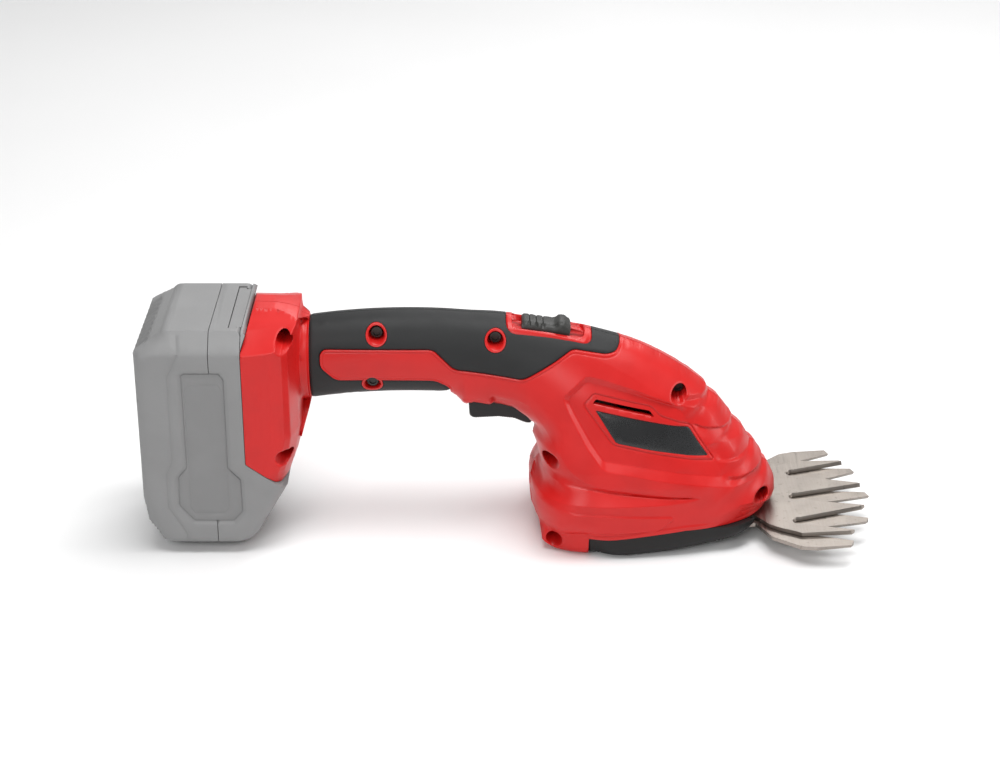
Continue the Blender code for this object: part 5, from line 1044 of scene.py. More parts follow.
MATERIAL_MAKERS = {
    "red": lambda: textured_plastic(colour("red"), 0.36, 0.000028, 1700.0, 0.05, 0.05, 0.38),
    "rubber": lambda: textured_plastic(colour("rubber"), 0.56, 0.00003, 2000.0, 0.06, 0.12, 0.3),
    "black": lambda: textured_plastic(colour("black"), 0.42, sparkle=0.08, wear=0.1, shine=0.3),
    "sole": lambda: textured_plastic((0.014, 0.0135, 0.0135), 0.5, sparkle=0.06, wear=0.1, shine=0.25),
    "slide": lambda: textured_plastic((0.034, 0.034, 0.032), 0.5, sparkle=0.06, wear=0.1, shine=0.35),
    "dark": lambda: textured_plastic((0.03, 0.03, 0.032), 0.5, sparkle=0.04, wear=0.1),
    "battery": lambda: textured_plastic(colour("battery"), 0.5, 0.00002, 2400.0, 0.06, 0.03),
    "battery_plate": lambda: textured_plastic(darker(colour("battery"), 0.9), 0.45, 0.00001, 3000.0, 0.04,
                                              0.03),
    "label": lambda: textured_plastic(colour("label"), 0.3, 0.00001, 3000.0, 0.14, 0.2),
    "blade": lambda: ground_steel(colour("blade"), 0.36, 0.35),
    "steel": lambda: plain_metal((0.5, 0.49, 0.47), 0.35),
    "bright": lambda: plain_metal((0.62, 0.62, 0.61), 0.3),
    # screw: dark zinc metal, made near-black as painted shade of the deep screw wells
    "screw": lambda: plain_metal((0.06, 0.058, 0.055), 0.42),
    "brass": lambda: plain_metal((0.7, 0.5, 0.22), 0.32),
    "cell": lambda: plain_metal((0.55, 0.56, 0.58), 0.34),
    "board": lambda: textured_plastic((0.03, 0.19, 0.07), 0.45, 0.00001, 1200.0, 0.05, 0.1),
    "wire_red": lambda: textured_plastic((0.55, 0.03, 0.02), 0.42, 0.000005, 900.0, 0.03, 0.08),
    "wire_black": lambda: textured_plastic((0.02, 0.02, 0.021), 0.42, 0.000005, 900.0, 0.03, 0.08),
    "magnet": lambda: textured_plastic((0.045, 0.045, 0.05), 0.6, 0.00003, 1500.0, 0.1, 0.15),
}
MATERIALS = {}


def material(name):
    """The finish of that name, made when it is first asked for."""
    if name not in MATERIALS:
        MATERIALS[name] = MATERIAL_MAKERS[name]()
        MATERIALS[name].name = "shears_" + name
    return MATERIALS[name]


# Housing and grips

EDGE_ROWS = ((0.04, 1.6), (0.12, 1.6), (0.5, 1.6), (1.2, 1.6), (2.2, 1.8), (3.6, 2.0), (5.4, 2.2))
CORE_ROWS = ((1.5, 6.0), (7.0, 8.0))

# Openings of the shells, as low and high corners
TRIGGER_OPENING = (-16.83, -7.33, 50.1), (17.63, 5, 76.53)
TERMINAL_NOTCH = (FOOT_BACK - 3, -8.03, 77.97), (FOOT_BACK + 6.03, 5, 92.03)
RECESS_HEIGHTS = -4.17, 14.0
VENT_DEPTHS = -OUTSIDE, -8.05


def shell_core(inset, back, extra=0.0, let_in=0.0):
    """The housing drawn in from its skin, as a coarse solid to cut with; more so behind the side panel."""
    outline, flags = coarsened(*housing_outline())

    def width(spots):
        panel = smoothstep(16.0, 34.0, spots[:, 0]) * smoothstep(30.0, 40.0, spots[:, 1])
        return body_half_width(spots, inset) - extra - let_in * panel

    return piece("core", lifted(inset_loop(outline, inset, flags), width, back, (), CORE_ROWS, 9.0))


def well_tools(radius, low, high, sides=48):
    """Round columns at the places of the screw wells."""
    return [piece("well", prism(ring(place, radius, sides), low, high)) for place in WELL_PLACES.values()]


def frame_block(amount):
    """The block that holds the slide, as an upright rounded column."""
    corners = rectangle(*FRAME_HALF) * (1 + amount / points(FRAME_HALF))
    plan = softened(corners, 5.5, steps=6) + points((SLIDE_PLACE[0], 0))
    return piece("block", prism(plan, SLIDE_PLACE[1] - 16, SLIDE_PLACE[1] + 16, "Z"))


def grip_bed():
    """The space that a grip fills in its shell, with the gap round it."""
    slab = piece("slab", prism(inset_loop(GRIP_LOOP, -GAP), -OUTSIDE, 1.0))
    cut(slab, shell_core(size("grip_thickness"), 2.0, GAP))
    cut(slab, frame_block(0.0))
    return slab


def shell_tools(node, side):
    """What is taken out of a half shell: the wells, the openings, the grip's bed and the CAD hollow."""
    bed = grip_bed()
    tools = []
    if side < 0:
        for collar in well_tools(COLLAR_RADIUS, -OUTSIDE, 2.0, 32):
            cut(bed, collar)
        tools.append(joined(well_tools(size("well_radius") + CLEAR, -OUTSIDE, -SCREW_SEAT - CLEAR)))
    recess = softened(rectangle(*RECESS_HALF), 4.0, steps=6)
    tools.append(piece("recess", prism(recess, *RECESS_HEIGHTS, "Z"), slide_frame))
    tools.append(piece("mouth", box(*TRIGGER_OPENING)))
    tools.append(piece("notch", box(*TERMINAL_NOTCH)))
    tools.append(piece("vent", prism(softened(VENT, 0.8), *VENT_DEPTHS)))
    hollow = shell_core(3.0, 1.0, 0.0, 2.6)
    shape = cad_copy(node)
    cut(hollow, flipped(shape) if side > 0 else shape)
    return tools + [bed, hollow]


def build_shells():
    outline, _ = housing_outline()
    top = stepped_top()
    right = piece("right_shell", lifted(outline, lambda spots: skin_half_width(spots, top), -SEAM - CLEAR,
                                        flank_lines(), EDGE_ROWS, size("spacing"), side=0.4))
    left = doubled(right)
    for item, name, side in ((right, "right_shell", -1), (left, "left_shell", 1)):
        for tool in shell_tools(name, side):
            cut(item, tool)
        largest_body(item)
    flipped(left)
    for item, name in ((right, "right_shell"), (left, "left_shell")):
        finished(item, name + "_moulded", material("red"), "housing", [name])


def grip_outline():
    """Side view of a grip, from the top line down to the rubber's border on the flank."""
    top = PLAIN_TOP[(PLAIN_TOP[:, 0] > GRIP_BACK) & (PLAIN_TOP[:, 0] < GRIP_FRONT)]
    start = points((GRIP_BACK, height_at(PLAIN_TOP, GRIP_BACK)))
    end = points((58.9, height_at(PLAIN_TOP, 58.9)))
    outline, _ = housing_outline()
    within = inside(GRIP_LOOP, outline) & (line_distance(GRIP_LOOP, closed(outline)) > 0.25)
    side = GRIP_LOOP[within & (GRIP_LOOP[:, 0] > -92)]
    under = HANDLE_UNDER[(HANDLE_UNDER[:, 0] < -25.2) & (HANDLE_UNDER[:, 0] > -93.4)]
    low = handle_edge(-1, GRIP_BACK, GRIP_BACK, 1)
    return paced_loop(np.vstack([start, even_line(top, 1.6)[1:-1], end, side, under, low]), 1.6)


def build_grips():
    outline = grip_outline()
    border = closed(GRIP_LOOP)
    edge = size("grip_round")

    def width(spots):
        smooth = body_half_width(spots, 0.0, PLAIN_TOP[::2])
        near = edge * (1 - rounded(line_distance(spots, border), 1.6))
        for place in WELL_PLACES.values():
            radius = np.hypot(spots[:, 0] - place[0], spots[:, 1] - place[1])
            near = near + 0.3 * groove(np.abs(radius - 5.5), 0.7)
        return smooth - near * np.clip(smooth / 6.0, 0.0, 1.0)

    lines = [closed(inset_loop(GRIP_LOOP, amount)) for amount in (0.3, 0.8, 1.6)]
    lines += [closed(ring(place, 6.2)) for place in WELL_PLACES.values()]
    right = piece("right_grip", lifted(outline, width, -SEAM, [cornered_line(line, 1.2) for line in lines],
                                       EDGE_ROWS, size("spacing")))
    cut(right, shell_core(size("grip_thickness"), 2.0))
    cut(right, frame_block(GAP))
    left = flipped(doubled(right))
    cut(right, joined(well_tools(COLLAR_RADIUS + GAP, -OUTSIDE, 2.0, 32)))
    for item, name in ((right, "right_grip"), (left, "left_grip")):
        largest_body(item)
        finished(item, name + "_rubber", material("rubber"), "housing", [name])


# Battery

BATTERY_SIDE = points((-131, 0), (-125.4, 3.8), (-120, 9.5), (-104.8, 35.9), (-107.7, 37.0), (-124.8, 49.4),
                      (-124.8, 116.0), (-126.5, 117.7), (-162, 117.7), (-164, 116.7), (-176.5, 108.2),
                      (-176.5, 30), (-174.5, 17), (-166, 4.3), (-160, 0.6), (-157, 0))
BATTERY_BACK_LINE = points((-164, 116.7), (-176.5, 108.2), (-176.5, 30), (-174.5, 17), (-166, 4.3),
                           (-160, 0.6))
BATTERY_NOSE_LINE = points((-125.4, 3.8), (-120, 9.5), (-104.8, 35.9))
SPLIT = -140.0
PACK_HALF_WIDTH = 38.0
PACK_WIDTHS = (0, 2.3, 7, 108.6, 117.7), (26, 30, PACK_HALF_WIDTH, PACK_HALF_WIDTH, 30)
PACK_PANEL = points((-155.6, 98), (-152.8, 99.8), (-134.4, 99.8), (-131.4, 95.1), (-131.7, 47.8),
                    (-125.7, 41.4), (-125.4, 22.5), (-131, 16.2), (-152.1, 16.2), (-160.4, 26),
                    (-159.8, 42.9), (-155.6, 48))
PACK_LABEL = points((-152.6, 89.4), (-150.7, 92), (-136.1, 92), (-134.2, 89.4), (-134, 25), (-135.8, 22.6),
                    (-150.9, 22), (-152.8, 25))
PACK_GROOVE = points((-155.9, 117.4), (-154.8, 108.3), (-157.9, 100.7), (-160.2, 97), (-160.4, 87.5),
                     (-160.6, 50.7), (-163.6, 43.9), (-163.9, 26), (-155.1, 10.9))
PACK_PANEL_LOOP = paced_loop(PACK_PANEL, 1.5)
PACK_CHAMFER = points((-121.8, 48.8), (-121.9, 18.8), (-129.3, 0.6))
PANEL_CHAMFER = 1.8
PLATE_INSET = 2.0
PACK_NECK = (-126.97, -24.33, 55.67), (-115, 24.33, 140)
PACK_SLOT = (-131.13, -26.33, 55.67), (-126.87, 26.33, 140)
LATCH_POCKET = (-7.33, -14.33, -7.23), (7.33, 14.33, 14.0)
RIDGE_COUNT, RIDGE_PITCH, RIDGE_START = 9, 6.2, -27.0


def ridge_tools():
    """Wedges that cut the finger ridges across the pack's upper back edge."""
    head, foot = BATTERY_BACK_LINE[:2]
    along = (head - foot) / np.linalg.norm(head - foot)
    out = np.array([-along[1], along[0]])
    deep = size("pack_ridge")
    tools = []
    for k in range(RIDGE_COUNT):
        y = RIDGE_START + RIDGE_PITCH * k
        section = ((y - 2.9, 3.0), (y + 2.9, 3.0), (y + 2.9, -0.05), (y - 2.1, -deep), (y - 2.9, -0.05))
        vertices = []
        for reach, rise in ((-9.0, 0.0), (7.4, 0.0), (9.2, deep + 0.3)):
            vertices += [(*(foot + along * reach + out * (level + rise)), side) for side, level in section]
        vertices = [(x, side, z) for x, z, side in vertices]
        count = len(section)
        ends = [tuple(range(count)), tuple(range(2 * count, 3 * count))]
        tools.append(piece("ridge", (vertices, ring_faces(count, 3) + ends)))
    return joined(tools)


def battery_half_width(spots, inset=0.0):
    """Half width of the smooth battery at points of its side view, drawn in by an inset."""
    full = np.interp(spots[:, 1], *PACK_WIDTHS)
    back = 0.86 + 0.14 * rounded(line_distance(spots, BATTERY_BACK_LINE), 5.0)
    nose = 0.79 + 0.21 * rounded(line_distance(spots, BATTERY_NOSE_LINE), 7.0)
    return full * back * nose - inset


def pack_skin(spots):
    """The battery's half width with its side panel and fine lines let in."""
    depth = 0.4 * groove(line_distance(spots, PACK_GROOVE), 0.45)
    to_panel = line_distance(spots, closed(PACK_PANEL))
    sunk = size("pack_panel") + 0.6
    depth += np.where(inside(spots, PACK_PANEL), sunk * np.clip(to_panel / PANEL_CHAMFER, 0.0, 1.0), 0.0)
    depth += 0.25 * groove(to_panel, 0.5)
    depth += 0.35 * groove(np.abs(spots[:, 0] - SPLIT), 0.5)
    depth += 0.3 * groove(line_distance(spots, PACK_CHAMFER), 0.5)
    return battery_half_width(spots) - depth


def latch_frame():
    """The tilted frame of the latch's pocket, on the slope of the battery's nose."""
    foot, head = BATTERY_NOSE_LINE[1:]
    along = (head - foot) / np.linalg.norm(head - foot)
    return side_frame(foot + along * 14.0, along, (along[1], -along[0]))


def pack_lines():
    """Lines that the battery's triangles follow."""
    lines = [PACK_GROOVE, closed(PACK_PANEL), closed(inset_loop(PACK_PANEL_LOOP, 0.5)),
             closed(inset_loop(PACK_PANEL_LOOP, PANEL_CHAMFER)), points((-167, 7), (-123.2, 7)),
             points((-174, 108.6), (-125.5, 108.6)), points((-160, 2.3), (-128, 2.3)), PACK_CHAMFER]
    lines += [points((SPLIT + shift, 0.3), (SPLIT + shift, 117.4)) for shift in (-0.5, 0.5)]
    lines += [PACK_GROOVE + points((shift, 0)) for shift in (-0.45, 0.45)]
    return [cornered_line(line, 2.2) for line in lines]


def build_battery():
    rows = ((0.35, 2.0), (1.2, 2.2), (2.6, 2.4), (5.0, 3.0))
    outline = paced_loop(softened(BATTERY_SIDE, 0.9), 2.2)
    back = piece("pack", lifted(outline, pack_skin, 0.0, pack_lines(), rows, 1.6 * size("spacing"),
                                both=True))
    front = doubled(back)
    cut(back, ridge_tools())
    cut(front, piece("neck", box(*PACK_NECK)))
    cut(front, piece("slot", box(*PACK_SLOT)))
    cut(front, piece("pocket", box(*LATCH_POCKET), latch_frame()))
    core = inset_loop(paced_loop(BATTERY_SIDE, 8.0), 1.7)
    for item, node, low, high in ((back, "battery_back_shell", SPLIT - SEAM - CLEAR, -90.0),
                                  (front, "battery_front_shell", -190.0, SPLIT + SEAM + CLEAR)):
        hollow = piece("hollow", lifted(core, lambda spots: battery_half_width(spots, 1.9), 0.0, (),
                                        ((2.0, 6.0),), 12.0, both=True))
        cut(hollow, cad_copy(node))
        cut(item, piece("half", box((low, -OUTSIDE, -10), (high, OUTSIDE, 130))))
        cut(item, hollow)
        largest_body(item)
        finished(item, node + "_case", material("battery"), "battery", [node])
    build_terminal_head()
    for name, plate in (("right", pack_plate()), ("left", flipped(pack_plate()))):
        finished(plate, "battery_plate_" + name, material("battery_plate"), "battery", [])


def build_terminal_head():
    """The head of the terminal block, which fills the wedge between the pack's top and the foot."""
    shape = points((-124.48, 110.3), (-124.48, 117.4), (-123.6, 117.1), (-122.4, 115.9))
    wedge = piece("wedge", lifted(paced_loop(shape, 1.5), battery_half_width, 0.0, (), (), 2.0, both=True))
    cut(wedge, cad_copy("terminal_block"))
    largest_body(wedge)
    finished(wedge, "terminal_head", material("battery"), "housing", [])


def pack_plate():
    """Plain plate laid into the panel of the pack's side."""
    shape = inset_loop(PACK_PANEL_LOOP, PLATE_INSET)
    level = PACK_HALF_WIDTH - size("pack_panel")

    def width(spots):
        edge = line_distance(spots, closed(shape))
        line = line_distance(spots, closed(PACK_LABEL))
        return level - 0.3 * (1 - np.clip(edge / 0.5, 0, 1)) - 0.18 * groove(line, 0.4)

    label = paced_loop(PACK_LABEL, 1.5)
    lines = [inset_loop(shape, 0.5), label, inset_loop(label, 0.4), inset_loop(label, -0.4)]
    return piece("plate", lifted(paced_loop(shape, 2.0), width, -(level - 0.55),
                                 [cornered_line(closed(line), 2.0) for line in lines], (), 4.0))


# Sole, label plates and controls

BLADE_MOUTHS = (((-16.03, -28.53, -2.63), (6.03, 28.53, 14)), ((4.97, -26.03, -2.63), (30.03, 26.03, 14)))
SOLE_SCREW_X, SOLE_SCREW_Y, SOLE_SCREW_HOLE = -60.0, 12.0, 3.72


def sole_outline():
    """Side view of the cover, with a gap to the shells."""
    edge = SOLE_EDGE[::-1] - points((0, GAP))
    bottom = SOLE_BOTTOM.copy()
    edge[0, 0] = bottom[0, 0] = SOLE_BOTTOM[0, 0] + GAP
    front, low = SOLE_BOTTOM[-1]
    outline = np.vstack([cornered_line(edge, 1.8),
                         cornered_line(points((front, edge[-1, 1]), (front, low)), 1.8),
                         cornered_line(bottom, 1.8)[::-1][1:]])
    return outline[np.linalg.norm(np.diff(closed(outline), axis=0), axis=1) > 0.05]


def build_sole():
    outline = sole_outline()

    def width(spots):
        return body_half_width(spots) + 4.0 * smoothstep(102.0, 121.0, spots[:, 0])

    rows = ((0.3, 1.8), (1.0, 1.8), (2.4, 2.0), (4.5, 2.4))
    sole = piece("sole", lifted(outline, width, 0.0, (), rows, 1.6 * size("spacing"), both=True))
    core = inset_loop(even_line(closed(outline), 6.0)[:-1], 1.0)
    hollow = piece("hollow", lifted(core, lambda spots: body_half_width(spots, 1.6), 0.0, (), ((1.5, 6.0),),
                                    10.0, both=True))
    cut(hollow, cad_copy("sole_cover"))
    for corners in BLADE_MOUTHS:
        cut(sole, piece("mouth", box(*corners), blade_frame))
    for side in (-1, 1):
        hole = ring((SOLE_SCREW_X, side * SOLE_SCREW_Y), SOLE_SCREW_HOLE, 32)
        cut(sole, piece("hole", prism(hole, -9, -2.42, "Z"), blade_frame))
    cut(sole, hollow)
    largest_body(sole)
    finished(sole, "sole_moulded", material("sole"), "housing", ["sole_cover"])


def build_labels():
    """Plain dark plates in the beds of both sides."""
    shape = inset_loop(LABEL_BED_LOOP, 0.3)
    rim_line = cornered_line(closed(inset_loop(shape, 0.35)), 2.0)
    flat, triangles = triangulated(paced_loop(shape, 2.0), [rim_line], (), 3.0)
    base = skin_half_width(flat, stepped_top())
    rise = 0.2 + 0.15 * np.clip(line_distance(flat, closed(shape)) / 0.35, 0.0, 1.0)
    count = len(flat)
    vertices = [(x, -(w + r), z) for (x, z), w, r in zip(flat, base, rise)]
    vertices += [(x, -(w + CLEAR), z) for (x, z), w in zip(flat, base)]
    faces = [tuple(t) for t in triangles] + [tuple(count + v for v in reversed(t)) for t in triangles]
    faces += [(a, b, count + b, count + a) for a, b in rim_edges(triangles)]
    right = piece("label", (vertices, faces))
    left = flipped(doubled(right))
    for item, name in ((right, "right"), (left, "left")):
        finished(item, "label_plate_" + name, material("label"), "housing", [])


SLIDE_PROFILE = points((-13, -3.9), (-13, -1.7), (-12.4, -0.8), (-9.8, -0.6), (-9.5, -0.95), (-9.2, -0.56),
                       (-6.4, -0.5), (-6.1, -0.85), (-5.8, -0.46), (-3.0, -0.38), (-2.7, -0.75),
                       (-2.4, -0.34), (2.0, -0.2), (3.4, 0.4), (4.4, 1.7), (5.4, 2.2), (7.6, 2.3),
                       (8.8, 1.6), (10.4, 0.9), (11.0, 0.0), (11.0, -3.9))
SLIDE_HALF_WIDTH = 7.4
SLIDE_STEM = (-3, -2.5, -13), (3, 2.5, -3)


def build_slide():
    top = SLIDE_PROFILE[1:-1]

    def width(spots):
        return SLIDE_HALF_WIDTH - 3.4 * (1 - rounded(line_distance(spots, top), 3.0))

    rows = ((0.12, 0.8), (0.35, 0.8), (0.8, 0.9), (1.6, 1.1))
    slide = piece("slide", lifted(paced_loop(SLIDE_PROFILE, 1.0), width, 0.0, (), rows, 1.4, both=True),
                  slide_frame)
    cut(slide, piece("stem", box(*SLIDE_STEM), slide_frame), "UNION")
    finished(slide, "slide_moulded", material("slide"), "lock_slide", ["lock_slide"])


TRIGGER_SIDE = points((-15.7, 68.6), (-15.3, 61.2), (-13.5, 59.7), (-0.8, 60.4), (7.1, 59.5), (13.0, 56.8),
                      (15.6, 56.8), (16.2, 60.0), (16.3, 68.0), (15.2, 72.6), (12.0, 74.0), (9.0, 73.2),
                      (6.0, 71.6), (-6.0, 71.0), (-14.8, 70.6))
TRIGGER_HALF_WIDTH = 7.0
TRIGGER_PIN, TRIGGER_PIN_HOLE = (12.0, 70.0), 1.8


def build_trigger():
    shape = softened(TRIGGER_SIDE, 1.3)

    def width(spots):
        return TRIGGER_HALF_WIDTH - 1.4 * (1 - rounded(line_distance(spots, closed(shape)), 1.5))

    rows = ((0.08, 1.1), (0.3, 1.1), (0.8, 1.2), (1.5, 1.4))
    trigger = piece("trigger", lifted(paced_loop(shape, 1.2), width, 0.0, (), rows, 2.4, both=True))
    cut(trigger, piece("hole", prism(ring(TRIGGER_PIN, TRIGGER_PIN_HOLE, 32), -20, 20)))
    finished(trigger, "trigger_moulded", material("black"), "trigger", ["trigger"])


# Blades

LOWER_TIPS = points((62.5, -49.5, 2.2), (73.0, -27.0, 2.0), (76.7, 0.0, 2.2), (73.0, 27.0, 2.0),
                    (62.5, 49.5, 2.2))
UPPER_TIPS = points((66.0, -37.5, 1.1), (73.2, -12.2, 1.1), (73.2, 12.2, 1.1), (66.0, 37.5, 1.1))
LOWER_GULLETS = points((39.0, -35.5), (39.5, -10.6), (39.5, 10.6), (39.0, 35.5))
UPPER_GULLETS = points((39.6, -25.8), (39.3, 0.0), (39.6, 25.8))
LOWER_EDGE = points((-14.0, 26.0), (-12.0, 27.5), (3.0, 27.5), (8.0, 25.0), (16.5, 23.5), (23.2, 38.6),
                    (36.7, 50.2), (44.0, 51.8))
UPPER_EDGE = points((-13.0, 13.8), (-3.0, 15.5), (8.0, 16.5), (18.0, 19.6), (24.2, 28.5), (30.0, 33.0),
                    (36.5, 36.6), (40.0, 38.8))
TIP_SKEW = 1.6
LOWER_GULLET, UPPER_GULLET = 2.4, 2.9
GULLET_TURN = (-80, -100, -120, -150, 180, 150, 120, 100, 80)
BLADE_REST = math.radians(-2.9)
BLADE_SWING = math.radians(7.6)
CRANK_PLACE = 30
CRANK_REACH = CRANK_PLACE * math.sin(BLADE_SWING)
TAIL_HALF = 2 * CRANK_REACH + 5.8
TAIL_ROOM = CRANK_REACH + 2.7
TAIL_END = -CRANK_PLACE - TAIL_ROOM - 3.3
PIVOT_HOLE = 4.3
COMB_SCREW_X, COMB_SCREW_Y, COMB_SCREW_HOLE = -6, 22, 2.5

# How far the teeth are ground back at each height from the blades' meeting plane
LOWER_GRIND = (1.25, -2.15), (0.0, -0.55), (0.0, -SEAM)
UPPER_GRIND = (0.0, SEAM), (0.0, 0.45), (0.55, 1.95), (0.7, 2.15)


def comb_plan(side, tips, gullets, radius, tail, trim):
    """Plan of a comb blade; its teeth narrow and its gullets widen by the trim."""
    rounded_side = softened(side, 1.2, False)
    plan = list(tail) + [(u, -v) for u, v in rounded_side]
    for index, (u, v, half) in enumerate(tips):
        lean = -1.0 if v < 0 else 1.0
        tip = max(half - trim, 0.35)
        for side_sign in (-1, 1):
            back = TIP_SKEW if lean * side_sign > 0 else 0.0
            plan.append((u - back - 0.3 * trim, v + side_sign * tip))
        if index < len(gullets):
            gu, gv = gullets[index]
            reach = radius + trim
            for turn in map(math.radians, GULLET_TURN):
                plan.append((gu + reach * math.cos(turn), gv + reach * math.sin(turn)))
    return np.array(plan + [(u, v) for u, v in rounded_side[::-1]])


def lofted(levels):
    """A closed solid through outlines of equal length, each given with its height."""
    count = len(levels[0][0])
    vertices = [(u, v, height) for plan, height in levels for u, v in plan]
    faces = ring_faces(count, len(levels))
    for start in (0, (len(levels) - 1) * count):
        cap = delaunay_2d_cdt([Vector(vertices[start + i][:2]) for i in range(count)],
                              [(i, (i + 1) % count) for i in range(count)], [], 1, 1e-6)
        order = [group[0] for group in cap[3]]
        faces += [tuple(start + order[v] for v in t) for t in cap[2]]
    return vertices, faces


def turned(plan, angle):
    """A plan turned about the blades' pivot."""
    c, s = math.cos(angle), math.sin(angle)
    plan = np.asarray(plan, dtype=float)
    return np.column_stack([plan[:, 0] * c - plan[:, 1] * s, plan[:, 0] * s + plan[:, 1] * c])


def blade_hole(blade, plan):
    """Cut a hole of that plan through a blade."""
    cut(blade, piece("hole", prism(plan, -5, 5, "Z"), blade_frame))


def build_blades():
    """The fixed lower comb, whose teeth are ground away underneath, and the swinging upper comb."""
    levels = [(comb_plan(LOWER_EDGE, LOWER_TIPS, LOWER_GULLETS, LOWER_GULLET, (), trim), height)
              for trim, height in LOWER_GRIND]
    lower = piece("lower", lofted(levels), blade_frame)
    tail = [(TAIL_END + 3, TAIL_HALF), (TAIL_END, TAIL_HALF - 4), (TAIL_END, -TAIL_HALF + 4),
            (TAIL_END + 3, -TAIL_HALF)]
    levels = [(turned(comb_plan(UPPER_EDGE, UPPER_TIPS, UPPER_GULLETS, UPPER_GULLET, tail, trim), BLADE_REST),
               height) for trim, height in UPPER_GRIND]
    upper = piece("upper", lofted(levels), blade_frame)
    window = points((-0.6, -1), (0.6, -1), (1, -0.7), (1, 0.7), (0.6, 1), (-0.6, 1), (-1, 0.7), (-1, -0.7))
    window = window * (TAIL_ROOM, TAIL_HALF - 3.4) - points((CRANK_PLACE, 0))
    blade_hole(upper, turned(softened(window, 1.0), BLADE_REST))
    for blade in (lower, upper):
        blade_hole(blade, ring((0, 0), PIVOT_HOLE, 48))
    for side in (-1, 1):
        blade_hole(lower, ring((COMB_SCREW_X, side * COMB_SCREW_Y), COMB_SCREW_HOLE, 24))
    finished(lower, "lower_blade_ground", material("blade"), "housing", ["lower_blade"], 20.0)
    finished(upper, "upper_blade_ground", material("blade"), "upper_blade", ["upper_blade"],
             20.0)


# Finishes of the CAD pieces, the stage and the camera

NODE_FINISHES = {
    "motor_can": "bright", "motor_end_cap": "black", "magnet_front": "magnet", "magnet_back": "magnet",
    "rotor": "steel", "motor_pinion": "brass", "idler_gear": "steel", "idler_pin": "steel",
    "crank_gear": "steel", "crank_bush": "brass", "crank_top_bush": "brass", "gear_case": "dark",
    "gear_cover": "steel",
    "blade_pivot": "bright", "spring_washer": "steel", "pivot_nut": "bright", "trigger_pin": "bright",
    "trigger_spring": "bright", "switch_body": "dark", "switch_button": "black", "lock_spring": "bright",
    "terminal_block": "battery", "wire_battery_switch": "wire_red", "wire_battery_motor": "wire_black",
    "wire_switch_motor": "wire_red", "battery_latch": "dark", "battery_latch_spring": "bright",
    "battery_board": "board",
}


def finish_cad_nodes():
    for name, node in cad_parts.items():
        finish = NODE_FINISHES.get(name)
        if finish is None:
            # every other CAD node takes the screw finish, whose near-black tone is partly painted shade of
            # the screw wells
            finish = "cell" if name.startswith("cell_") else "screw"
        for slot in node.material_slots:
            slot.material = material(finish)


# Each light's name, place, aim, power in watts, width and height
LIGHTS = (
    ("top", (0.1, -0.12, 1.3), (0.0, 0.0, 0.06), 14.0, 1.1, 0.5),
    ("front", (-0.3, -1.2, 0.8), (0.0, 0.0, 0.06), 6.0, 0.8, 0.5),
    ("side", (1.35, -0.05, 0.65), (0.05, 0.0, 0.06), 4.0, 0.4, 0.6),
    ("back", (0.3, 1.1, 1.1), (0.0, 0.0, 0.08), 7.0, 0.9, 0.4),
)
FLOOR_HALF, FLOOR_NEAR, FLOOR_FAR, FLOOR_BEND, FLOOR_HEIGHT = 3.0, -1.6, 1.4, 0.8, 3.0
CAMERA_DISTANCE, CAMERA_AIM = 1.1, 0.0764
CAMERA_PITCH = math.radians(25.0)


def area_light(name, place, aim, power, width, height):
    light = bpy.data.lights.new(name, "AREA")
    light.shape = "RECTANGLE"
    light.size, light.size_y = width, height
    light.energy = power
    item = placed(name, light)
    item.location = place
    item.rotation_euler = (Vector(aim) - Vector(place)).to_track_quat("-Z", "Y").to_euler()


def floor_material():
    m = Maker("floor")
    cloud = m.noise(3.0, 2.0)
    tone = m.mix(m.remap(cloud, 0.3, 0.7, 0.0, 1.0), (0.86, 0.86, 0.86), (0.88, 0.88, 0.88))
    return m.set(Base_Color=tone, Roughness=m.remap(cloud, 0.3, 0.7, 0.6, 0.65))


def build_floor():
    """A pale floor that rises into a backdrop."""
    profile = [(FLOOR_NEAR, 0.0), (FLOOR_FAR, 0.0)]
    for angle in np.linspace(0.0, math.pi / 2, 10)[1:]:
        rise = FLOOR_BEND - FLOOR_BEND * math.cos(angle)
        profile.append((FLOOR_FAR + FLOOR_BEND * math.sin(angle), rise))
    profile.append((FLOOR_FAR + FLOOR_BEND, FLOOR_HEIGHT))
    vertices = [(side * FLOOR_HALF, y, z) for y, z in profile for side in (-1, 1)]
    faces = [(2 * i, 2 * i + 1, 2 * i + 3, 2 * i + 2) for i in range(len(profile) - 1)]
    mesh = bpy.data.meshes.new("floor")
    mesh.from_pydata(vertices, [], faces)
    mesh.shade_smooth()
    mesh.materials.append(floor_material())
    placed("floor", mesh)


def build_stage():
    """The floor, soft lights all round and the camera."""
    build_floor()
    for light in LIGHTS:
        area_light(*light)
    world = bpy.data.worlds.new("world")
    world.use_nodes = True
    world.node_tree.nodes["Background"].inputs["Color"].default_value = (1.0, 1.0, 1.0, 1.0)
    world.node_tree.nodes["Background"].inputs["Strength"].default_value = 0.33
    bpy.context.scene.world = world
    bpy.context.scene.view_settings.view_transform = "Standard"

    camera = bpy.data.cameras.new("camera")
    camera.lens = 79.2
    camera.sensor_width = 36.0
    item = placed("camera", camera)
    item.location = (SHIFT * MM, -CAMERA_DISTANCE * math.cos(CAMERA_PITCH),
                     CAMERA_AIM + CAMERA_DISTANCE * math.sin(CAMERA_PITCH))
    item.rotation_euler = (math.pi / 2 - CAMERA_PITCH, 0.0, 0.0)
    bpy.context.scene.camera = item


# Operators, panel and registration

class ShearsOperator:
    bl_options = {"REGISTER", "UNDO"}


class SHEARS_OT_shells(ShearsOperator, bpy.types.Operator):
    """Build the two red half shells"""
    bl_idname = "shears.shells"
    bl_label = "Shells"

    def execute(self, context):
        build_shells()
        return {"FINISHED"}


